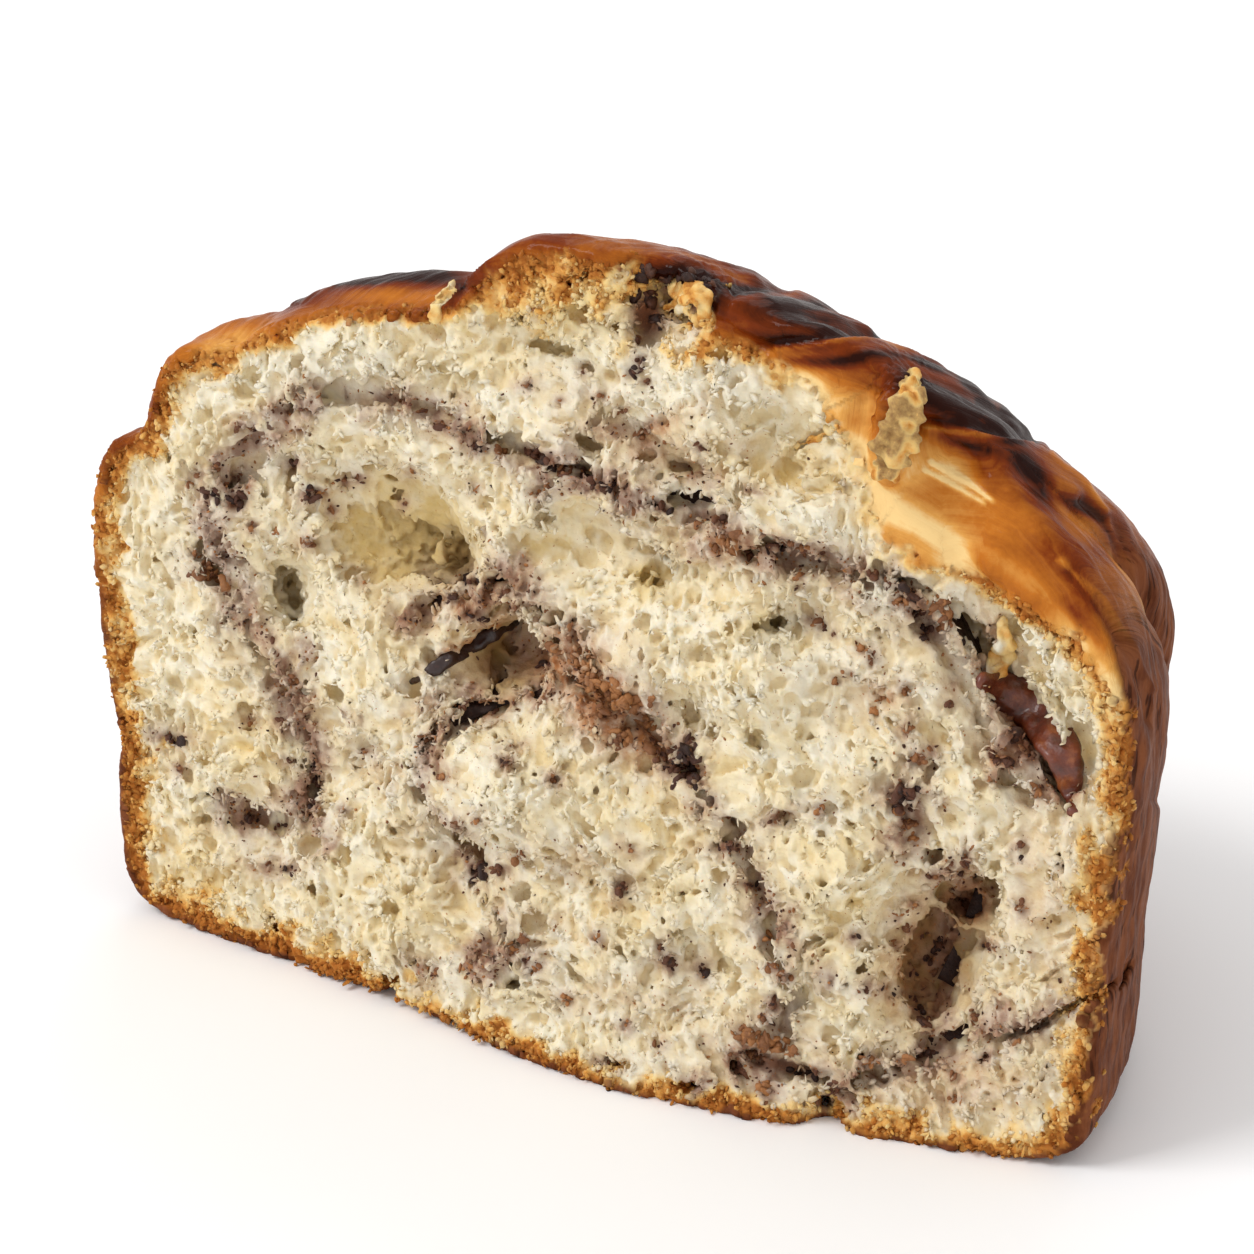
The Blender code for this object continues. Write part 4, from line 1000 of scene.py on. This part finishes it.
crumb_colour = made.mix(made.between(soft, 0.35, 0.7), CREAM, WHITE_CRUMB)
crumb_colour = made.mix(made.measured("white"), crumb_colour, WHITE_CRUMB)
# Yellow of egg, and painted shade in hollows and pits.
yellow_and_shade_share = made.measured("yellow") * made.between(fine, 0.2, 0.75, 0.7, 1.0)
crumb_colour = made.mix(yellow_and_shade_share, crumb_colour, EGG_YELLOW_AND_SHADE)
# Painted shade: darker yellow deep in hollows and slits.
crumb_colour = made.mix(made.measured("deep") * 0.85, crumb_colour, HOLLOW_SHADE_YELLOW)
stain_hue = made.mix(made.between(soft, 0.3, 0.7), MAUVE_STAIN, GREY_STAIN)
crumb_colour = made.mix(made.measured("mauve") * made.between(fine, 0.25, 0.6, 0.45, 0.95),
                        crumb_colour, stain_hue)
crumb_colour = made.mix(made.measured("caramel") * made.between(fine, 0.3, 0.6, 0.55, 1.0),
                        crumb_colour, CARAMEL_STAIN)
# Cocoa stains, and painted shade in slits and holes.
crumb_colour = made.mix(made.measured("cocoa"), crumb_colour, COCOA_AND_GAP_SHADE)
flecks = made.between(fleck, 0.71, 0.76) * made.between(soft, 0.3, 0.6, 0.3, 0.8)
crumb_colour = made.mix(flecks, crumb_colour, CARAMEL_STAIN)
toast_edge = made.between(toasted + (fine - 0.5) * 0.4, 0.08, 0.55)
crumb_colour = made.mix(toast_edge * 0.85, crumb_colour, TOAST_PALE)
toast_inner = made.between(toasted + (fine - 0.5) * 0.55, 0.42, 0.86)
crumb_colour = made.mix(toast_inner * 0.9, crumb_colour, TOAST_GOLD)
toast_rim = made.between(toasted + (fine - 0.5) * 0.6, 0.72, 1.05)
crumb_colour = made.mix(toast_rim * 0.85, crumb_colour, TOAST_BROWN)

crumb_height = made.noise(3.0, 3.0, 0.62) + 0.7 * made.noise(1.5, 2.0, 0.6, stretch=(0.4, 1.0, 2.4))
crumb_shader = made.principled({
    "Base Color": crumb_colour, "Roughness": 0.85, "Subsurface Weight": 0.18,
    "Subsurface Radius": (1.0, 0.75, 0.45), "Subsurface Scale": 1.8 * MM,
    "IOR": 1.38, "Specular IOR Level": 0.25,
    "Normal": made.bump(crumb_height, 0.2, 0.5)})

strand_place = made.measured("strand", "Vector")
thread_streaks = made.noise(1.0, 3.0, 0.6, place=strand_place, stretch=(0.10, 1.9, 1.0))
hair_streaks = made.noise(1.0, 2.0, 0.6, place=strand_place, stretch=(0.16, 5.5, 1.0))
baked = made.measured("bake") + (thread_streaks - 0.5) * 0.24 + (soft - 0.5) * 0.16 + (fine - 0.5) * 0.14
crust_colour = made.node("ShaderNodeValToRGB", {"stops": (
    (0.0, CRUST_PEELED), (0.15, CRUST_PALE), (0.37, CRUST_GOLD), (0.66, CRUST_RED), (0.93, CRUST_DARK))},
    {"Fac": baked})
# The wall share is the tin-baked wall, and painted shade on the side that faces right.
wall_and_side_shade_share = made.measured("wall")
wall_grain = made.noise(0.5, 4.0, 0.65, place=strand_place, stretch=(0.35, 1.5, 1.0))
wall_cracks = made.between(made.noise(1.0, 1.0, 0.5, place=strand_place, stretch=(0.3, 1.7, 1.0)), 0.61, 0.70)
wall_colour = made.mix(made.between(wall_grain, 0.36, 0.62), WALL_DARK_AND_SHADE, WALL_BROWN_AND_SHADE)
wall_colour = made.mix(wall_cracks * 0.75, wall_colour, WALL_CRACK)
crust_colour = made.mix(wall_and_side_shade_share, crust_colour, wall_colour)
crust_height = ((0.9 * thread_streaks + 0.5 * hair_streaks) * (1.0 - wall_and_side_shade_share * 0.8)
                + 0.4 * fine + wall_and_side_shade_share * (0.8 * wall_grain - wall_cracks * 0.7))
shine = made.between(fine * 0.5 + hair_streaks * 0.5, 0.3, 0.7, 0.24, 0.42)
crust_shader = made.principled({
    "Base Color": crust_colour, "Roughness": shine + wall_and_side_shade_share * 0.12,
    "Specular IOR Level": 0.02, "Specular Tint": (1.0, 0.62, 0.36, 1.0),
    "Coat Weight": 0.13 - wall_and_side_shade_share * 0.115,
    "Coat Roughness": 0.08, "Coat Tint": (1.0, 0.86, 0.70, 1.0), "IOR": 1.45,
    "Normal": made.bump(crust_height, 0.16, 0.7)})
baked_dough = made.finished(made.node("ShaderNodeMixShader", {},
                                      {0: crust_share, 1: crumb_shader, 2: crust_shader}))
print("baked dough:", len(made.tree.nodes), "nodes")

# %% [markdown]
# The skin is cut into pieces that stay small enough to share, by which side of the tear they lie on and
# how far across. Each keeps the normals of the whole skin, so the cuts can't be seen.
# %% Pieces of the loaf
peeled = np.exp(-np.clip(-inset, 0, None) / 2.2) * ramp(skin_points[:, 0], 12, 30) * (behind < 14)
bake = bake - 0.32 * peeled
strand_vector = np.stack([along_strand * (1 - wall) + skin_points[:, 2] * wall,
                          across_strand * (1 - wall) + plan_turn * wall, strand_number * 3.7], axis=1)
# Some measures carry painted shade: yellow in hollows and pits, darker yellow deep in hollows, cocoa colour
# in slits and holes, and wall colour on the side facing right.
MEASURES = {"crust": crust, "toast": toast, "white": clean, "yellow": yellow,
            "deep": np.clip(0.7 * hollow - 0.35 + patches(HOLLOW_SHADE_PATCHES) * crumb, 0, 1),
            "mauve": mauve, "caramel": caramel, "cocoa": cocoa,
            "bake": bake, "wall": wall * crust}


def loaf_piece(name, picked):
    faces = skin_faces[picked]
    used, place = np.unique(faces, return_inverse=True)
    mesh = bpy.data.meshes.new(name)
    mesh.from_pydata((skin_points[used] * MM).tolist(), [], place.reshape(-1, 4).tolist())
    for key, values in MEASURES.items():
        mesh.attributes.new(key, "FLOAT", "POINT").data.foreach_set("value", values[used].astype(np.float32))
    vectors = strand_vector[used].astype(np.float32).ravel()
    mesh.attributes.new("strand", "FLOAT_VECTOR", "POINT").data.foreach_set("vector", vectors)
    mesh.shade_smooth()
    mesh.normals_split_custom_set_from_vertices(skin_normals[used].tolist())
    mesh.materials.append(baked_dough)
    obj = bpy.data.objects.new(name, mesh)
    bpy.context.scene.collection.objects.link(obj)
    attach(obj, "root")
    print(name, len(faces) * 2, "triangles")
    return obj


MOST_FACES = 98000
face_centre = skin_points[skin_faces].mean(axis=1)
torn_face = crust[skin_faces].mean(axis=1) < 0.5
for side, chosen in (("torn_crumb", torn_face), ("baked_crust", ~torn_face)):
    members = np.flatnonzero(chosen)
    members = members[np.argsort(face_centre[members, 0], kind="stable")]
    for number, part in enumerate(np.array_split(members, math.ceil(len(members) / MOST_FACES)), 1):
        loaf_piece(f"{side}_{number}", part)
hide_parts("brioche")

# %% [markdown]
# A tear leaves more than one skin can show: loose flakes that stand on its ridges, and toasted grains along
# the crust. They are copies of one small rough ball of a few faces, each bent out of shape and joined in one
# mesh. Every copy takes its colours from the point of the skin that it stands on.
# %% Flakes and grains
FLAKE_COUNT = 4600
GRAIN_COUNT = 4200


def scattered(name, seeds, sizes, stand, material, extra=None):
    """Small rough balls on the skin; sizes are half lengths, stand is a range of lean in degrees."""
    ball = bmesh.new()
    bmesh.ops.create_icosphere(ball, subdivisions=1, radius=1.0)
    corners = np.array([vert.co for vert in ball.verts])
    sides = np.array([[vert.index for vert in face.verts] for face in ball.faces])
    ball.free()
    count = len(seeds)
    normals = skin_normals[seeds]
    wide = np.cross(normals, rng.standard_normal((count, 3)))
    wide /= np.linalg.norm(wide, axis=1, keepdims=True)
    flat = np.cross(normals, wide)
    lean = np.radians(rng.uniform(*stand, count))[:, None]
    long = np.cos(lean) * flat + np.sin(lean) * normals
    thin = np.cos(lean) * normals - np.sin(lean) * flat
    rough = rng.uniform(0.65, 1.3, (count, len(corners), 1))
    shaped = corners * rough * sizes[:, None, :]
    places = skin_points[seeds] + normals * (0.5 * sizes[:, :1] * np.sin(lean))
    places = places[:, None] + sum(shaped[:, :, i:i + 1] * axis[:, None]
                                   for i, axis in enumerate((long, wide, thin)))
    places = np.maximum(places.reshape(-1, 3), (-1e9, -1e9, 0.02))
    faces = (sides[None] + np.arange(count)[:, None, None] * len(corners)).reshape(-1, 3)
    mesh = bpy.data.meshes.new(name)
    mesh.from_pydata((places * MM).tolist(), [], faces.tolist())
    for key, values in (extra or {key: values[seeds] for key, values in MEASURES.items()}).items():
        repeated = np.repeat(values, len(corners)).astype(np.float32)
        mesh.attributes.new(key, "FLOAT", "POINT").data.foreach_set("value", repeated)
    mesh.shade_smooth()
    mesh.materials.append(material)
    obj = bpy.data.objects.new(name, mesh)
    bpy.context.scene.collection.objects.link(obj)
    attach(obj, "root")
    print(name, count, "copies,", len(faces), "triangles")
    return obj


in_crumb = np.flatnonzero((crust < 0.2) & (behind < TORN_DEPTH - 4) & (skin_normals[:, 1] < 0.3))
edge_share = ramp(ridge[in_crumb], *np.percentile(ridge[in_crumb], (55, 92))) * (1.05 - hollow[in_crumb])
flake_seeds = rng.choice(in_crumb, FLAKE_COUNT, replace=False, p=edge_share / edge_share.sum())
flake_sizes = rng.uniform(0.2, 0.52, (FLAKE_COUNT, 1)) * rng.uniform(
    (0.9, 0.4, 0.12), (1.5, 0.9, 0.26), (FLAKE_COUNT, 3))
scattered("crumb_flakes", flake_seeds, flake_sizes, (20, 75), baked_dough)
rim_points = np.flatnonzero((toast > 0.25) & (crust < 0.97) & (behind < 6) & (skin_normals[:, 1] < 0.4))
rim_share = np.interp(around[rim_points], (-180, 20, 32, 60, 72, 100, 106, 140, 155),
                      (1, 1, .03, .03, .8, .8, .3, .3, 1))
grain_seeds = rng.choice(rim_points, GRAIN_COUNT, replace=False, p=rim_share / rim_share.sum())
grain_sizes = rng.uniform(0.12, 0.34, (GRAIN_COUNT, 1)) * rng.uniform(
    (0.8, 0.7, 0.4), (1.7, 1.3, 0.9), (GRAIN_COUNT, 3))
grain_looks = {key: values[grain_seeds] for key, values in MEASURES.items()}
grain_looks["crust"] = 0.4 * grain_looks["crust"]
grain_looks["toast"] = np.clip(grain_looks["toast"] + rng.uniform(-0.25, 0.3, GRAIN_COUNT), 0, 1)
scattered("toasted_grains", grain_seeds, grain_sizes, (0, 60), baked_dough, grain_looks)

# %% [markdown]
# The filling is a sheet that runs back through the crumb. Its front edge has crumbled into lumps as the
# loaf was torn. Each sheet keeps its solid's form, drawn back a little from the tear. The lumps lie where
# the picture shows them.
# %% Chocolate
NEAR_BLACK, DARK_BROWN, PALE_BROWN = linear(46, 25, 18), linear(98, 58, 38), linear(172, 116, 68)

chocolate = Finish("dark_chocolate")
melted = chocolate.noise(2.2, 4.0, 0.6)
darkness = chocolate.measured("dark") + (melted - 0.5) * 0.35
cocoa_colour = chocolate.node("ShaderNodeValToRGB", {"stops": (
    (0.25, PALE_BROWN), (0.72, DARK_BROWN), (1.0, NEAR_BLACK))}, {"Fac": darkness})
chocolate_finish = chocolate.finished(chocolate.principled({
    "Base Color": cocoa_colour, "Roughness": chocolate.between(melted, 0.3, 0.7, 0.35, 0.65),
    "Specular IOR Level": 0.35,
    "Normal": chocolate.bump(chocolate.noise(3.2, 5.0, 0.65), 0.22, 0.8)}))
dressed_tree = BVHTree.FromPolygons(skin_points.tolist(), skin_faces.tolist())


def on_food(x, y):
    """The point of the food at a pixel of the picture, and its normal."""
    hit, normal = dressed_tree.ray_cast(Vector(camera_place), sight_line(x, y))[:2]
    return hit, normal


def add_lump(shape, centre, radii, turn, rough, seed=0):
    """A rough ball, in millimetres, in the metres of the mesh."""
    fit = Matrix.Translation(Vector(centre) * MM) @ turn.to_4x4() @ Matrix.Diagonal((*radii, 1.0))
    made_verts = bmesh.ops.create_icosphere(shape, subdivisions=2, radius=MM, matrix=fit)["verts"]
    places = np.array([v.co for v in made_verts]) / MM
    push = rough * (noise_read(GRAINS, places * 1.4 + seed)
                    + noise_read(FINE_LUMPS, places * 1.5 + seed)) * min(radii)
    for vert, amount in zip(made_verts, push):
        vert.co += (vert.co - Vector(centre) * MM).normalized() * float(amount) * MM
    return made_verts


def any_turn():
    return Matrix(random_turn().tolist())


def finish_piece(name, shape, material):
    obj = as_object(name, shape)
    obj.data.materials.append(material)
    obj.data.shade_smooth()
    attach(obj, "root")
    return obj


bit_lines = list(SWIRL_LINES)
bit_places = np.array([row[:2] for row in BITS], float)
bit_swirl = np.argmin([line_distance(*bit_places.T, SWIRL_LINES[name]) for name in bit_lines], axis=0)
for number, swirl in enumerate(bit_lines):
    shape = merged_copy(swirl)
    dark = shape.verts.layers.float.new("dark")
    for vert in shape.verts:
        vert[dark] = 1.0
        depth = float(grid_read(dough, np.array([vert.co]) / MM)[0])
        if depth > -3.0 and vert.co.y / MM < TEAR_Y + TORN_DEPTH:
            vert.co.y += (3.0 + depth + 1.0) * MM
    lumps = 0
    for row in np.flatnonzero(bit_swirl == number):
        x, y, half_long, half_wide, tilt, darkness_here = BITS[row]
        turn = math.radians(tilt)
        for _ in range(max(2, round(half_long * half_wide / 9))):
            along, across = dice.gauss(0, 0.42) * half_long, dice.gauss(0, 0.42) * half_wide
            hit, normal = on_food(x + along * math.cos(turn) - across * math.sin(turn),
                                  y + along * math.sin(turn) + across * math.cos(turn))
            if hit is None:
                continue
            size = dice.uniform(0.22, 0.5) * min(half_long, half_wide) / 8.0 + 0.12
            radii = [size * dice.uniform(*spread) for spread in ((0.9, 2.0), (0.6, 1.2), (0.35, 0.8))]
            verts = add_lump(shape, hit - normal * size * 0.35, radii, any_turn(), 0.36, seed=lumps)
            shade = 0.95 * darkness_here + dice.uniform(-0.2, 0.12)
            for vert in verts:
                vert[dark] = shade
                vert.co.z = max(vert.co.z, 0.05 * MM)
            lumps += 1
    filling = finish_piece(swirl + "_filling", shape, chocolate_finish)
    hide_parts(swirl)
    print(filling.name, "with", lumps, "lumps")

# %% [markdown]
# Some shreds are long: a tongue of filling that curls out of the slit on the right, a strip of crust that
# stands on the upper edge, and scraps of toasted dough. Each is a row of rings that follow the picture,
# joined into a tube, drawn flat, and made ragged with noise.
# %% Tongues and strips
SHREDS_OF_FOOD = (
    ("slit_tongue", "chocolate", 0.5, (
        (980, 680, 0.6, 0.7, 0.3), (1000, 688, 1.2, 1.8, 0.5), (1022, 700, 1.6, 2.2, 0.6),
        (1043, 720, 1.7, 2.2, 0.7), (1060, 748, 1.3, 1.9, 0.7), (1070, 780, 0.8, 1.3, 0.6),
        (1072, 812, 0.2, 0.5, 0.4))),
    ("hole_tongue", "chocolate", 0.9, (
        (412, 682, 0.2, 0.3, 0.2), (436, 668, 0.6, 0.8, 0.4), (462, 652, 0.8, 0.9, 0.5),
        (488, 637, 0.6, 0.8, 0.4), (516, 622, 0.2, 0.4, 0.3))),
    ("standing_strip", "bread", 0.95, (
        (914, 372, 0.5, 0.5, 0.3), (911, 390, 1.2, 1.2, 0.4), (903, 412, 1.7, 1.7, 0.45),
        (898, 436, 1.8, 2.0, 0.45), (890, 458, 1.4, 1.7, 0.4), (884, 477, 0.6, 1.0, 0.3))),
    ("gap_scrap_left", "bread", 0.45, (
        (668, 284, 0.4, 0.4, 0.15), (680, 288, 0.8, 1.1, 0.2), (694, 292, 0.9, 1.3, 0.2),
        (705, 304, 0.7, 1.0, 0.2), (704, 318, 0.3, 0.4, 0.15))),
    ("gap_scrap_right", "bread", 0.22, (
        (664, 312, 0.3, 0.3, 0.2), (676, 306, 0.8, 0.6, 0.3), (690, 312, 0.8, 0.6, 0.3),
        (699, 324, 0.3, 0.4, 0.2))),
    ("slit_flake", "bread", 0.2, (
        (985, 690, 0.4, 0.5, 0.3), (992, 672, 1.0, 0.9, 0.3), (1002, 654, 1.3, 1.0, 0.3),
        (1004, 636, 1.0, 0.8, 0.3), (998, 622, 0.4, 0.4, 0.2))),
    ("edge_sliver", "bread", 0.3, (
        (796, 447, 0.2, 0.2, 0.2), (812, 440, 0.5, 0.3, 0.2), (828, 432, 0.4, 0.3, 0.2),
        (838, 428, 0.2, 0.2, 0.1))),
    ("top_scrap", "bread", 0.2, (
        (434, 322, 0.2, 0.4, 0.2), (438, 308, 0.8, 0.9, 0.3), (446, 296, 0.9, 0.9, 0.3),
        (455, 282, 0.3, 0.3, 0.2))),
)
RING_CORNERS = 16
RING_STEPS = 4


def tube(shape, stations):
    """Rings through places (a pixel, how far out, half width, half thickness in mm), joined into a tube."""
    marks = np.arange(len(stations))
    steps = np.linspace(0, len(stations) - 1, (len(stations) - 1) * RING_STEPS + 1)
    table = np.array(stations, float)
    x, y, out, half_width, half_thick = (np.interp(steps, marks, table[:, i]) for i in range(5))
    centres = []
    for i in range(len(steps)):
        hit, _ = on_food(x[i], y[i])
        centres.append(np.array(hit) + toward_camera * out[i])
    centres = np.array(centres)
    for _ in range(3):
        centres[1:-1] = (centres[:-2] + centres[1:-1] + centres[2:]) / 3
    rings = []
    for i, centre in enumerate(centres):
        run = centres[min(i + 1, len(centres) - 1)] - centres[max(i - 1, 0)]
        run /= np.linalg.norm(run)
        across = np.cross(toward_camera, run)
        across /= np.linalg.norm(across)
        facing = np.cross(run, across)
        fit = Matrix(np.stack([across * half_width[i], facing * half_thick[i], run],
                              axis=1).tolist()).to_4x4()
        fit = Matrix.Translation(Vector(centre) * MM) @ fit
        ends = i in (0, len(centres) - 1)
        made = bmesh.ops.create_circle(shape, cap_ends=ends, segments=RING_CORNERS, radius=MM, matrix=fit)
        rings.append(made["verts"])
    for first, second in zip(rings, rings[1:]):
        both = set(first) | set(second)
        edges = {edge for vert in both for edge in vert.link_edges if all(v in both for v in edge.verts)
                 and (set(edge.verts) <= set(first) or set(edge.verts) <= set(second))}
        bmesh.ops.bridge_loops(shape, edges=list(edges))
    bmesh.ops.recalc_face_normals(shape, faces=shape.faces)
    bmesh.ops.subdivide_edges(shape, edges=shape.edges, cuts=1, use_grid_fill=True)
    shape.normal_update()


glaze = Finish("melted_filling")
glaze_noise = glaze.noise(0.9, 4.0, 0.6, warp=0.6)
glaze_colour = glaze.node("ShaderNodeValToRGB", {"stops": (
    (0.3, linear(44, 18, 10)), (0.55, linear(108, 46, 20)), (0.78, linear(170, 98, 46)))},
    {"Fac": 0.5 + (glaze_noise - 0.5) * 0.45 + (glaze.measured("bake") - 0.5) * 0.8})
glaze_finish = glaze.finished(glaze.principled({
    "Base Color": glaze_colour, "Roughness": 0.38, "Coat Weight": 0.35, "Coat Roughness": 0.15,
    "Normal": glaze.bump(glaze.noise(2.0, 4.0, 0.6), 0.2, 0.7)}))
for name, slot, bake_here, stations in SHREDS_OF_FOOD:
    shape = bmesh.new()
    tube(shape, stations)
    baked_layer = shape.verts.layers.float.new("bake")
    toast_layer = shape.verts.layers.float.new("toast")
    cocoa_layer = shape.verts.layers.float.new("cocoa")
    places = np.array([vert.co for vert in shape.verts]) / MM
    ragged_edge = (0.20 * noise_read(GRAINS, places) + 0.20 * noise_read(FINE_LUMPS, places)
                   + 0.1 * noise_read(CLUMPS, places))
    if slot == "chocolate":
        ragged_edge *= 0.4
    shades = bake_here + (0.07 if slot == "chocolate" else 0.16) * noise_read(CLUMPS, places * 1.5)
    for vert, amount, shade in zip(shape.verts, ragged_edge, shades):
        vert.co += vert.normal * float(amount) * MM
        vert[baked_layer] = float(1 - shade if slot == "chocolate" else shade)
        darker = float(ramp(shade, 0.6, 0.95))
        vert[toast_layer] = min(0.3 + float(shade), 1.2) * (1 - 0.75 * darker)
        vert[cocoa_layer] = darker
    finish_piece(name, shape, glaze_finish if slot == "chocolate" else baked_dough)
print("strips:", len(SHREDS_OF_FOOD))

# %% [markdown]
# Torn filling also sheds cocoa in crumbs finer than the lumps. They are strewn as the flakes are, thick on
# the stained bands and thin elsewhere, each with its own darkness.
# %% Cocoa crumbs
SPECK_COUNT = 3900
speck_share = (0.03 + np.maximum(mauve, caramel)[in_crumb]) ** 2
speck_seeds = rng.choice(in_crumb, SPECK_COUNT, replace=False, p=speck_share / speck_share.sum())
speck_sizes = rng.uniform(0.05, 0.2, (SPECK_COUNT, 1)) * rng.uniform(
    (0.8, 0.6, 0.4), (1.9, 1.2, 0.9), (SPECK_COUNT, 3))
scattered("cocoa_crumbs", speck_seeds, speck_sizes, (0, 40), chocolate_finish,
          {"dark": rng.uniform(0.2, 0.95, SPECK_COUNT)})

# %% [markdown]
# The food stands on a plain pale floor in soft studio light. The key light comes from the upper left, and
# a bright even surround keeps the shade on the right open. A weaker light behind lifts the shadow.
# %% Floor and light
floor_shape = bmesh.new()
bmesh.ops.create_grid(floor_shape, x_segments=1, y_segments=1, size=3.0)
floor = as_object("floor", floor_shape)
floor_finish = Finish("pale_floor")
floor_white = floor_finish.mix(floor_finish.noise(0.02, 2.0), linear(250, 249, 248), linear(252, 251, 251))
floor.data.materials.append(floor_finish.finished(floor_finish.principled({
    "Base Color": floor_white, "Roughness": 0.9})))

world = bpy.data.worlds.new("studio")
bpy.context.scene.world = world
world.use_nodes = True
world.node_tree.nodes["Background"].inputs["Color"].default_value = (1.0, 1.0, 1.0, 1.0)
world.node_tree.nodes["Background"].inputs["Strength"].default_value = 0.77
bpy.context.scene.view_settings.view_transform = "Standard"


def soft_light(name, place, size, power):
    lamp = bpy.data.objects.new(name, bpy.data.lights.new(name, "AREA"))
    lamp.data.size = size
    lamp.data.energy = power
    lamp.location = place
    aim = Vector((0, 0, 0.04)) - Vector(place)
    lamp.rotation_euler = aim.to_track_quat("-Z", "Y").to_euler()
    bpy.context.scene.collection.objects.link(lamp)
    return lamp


soft_light("key", (-1.55, -1.50, 2.40), 1.30, 49.0)
soft_light("back", (-0.60, 2.20, 2.60), 1.60, 14.0)
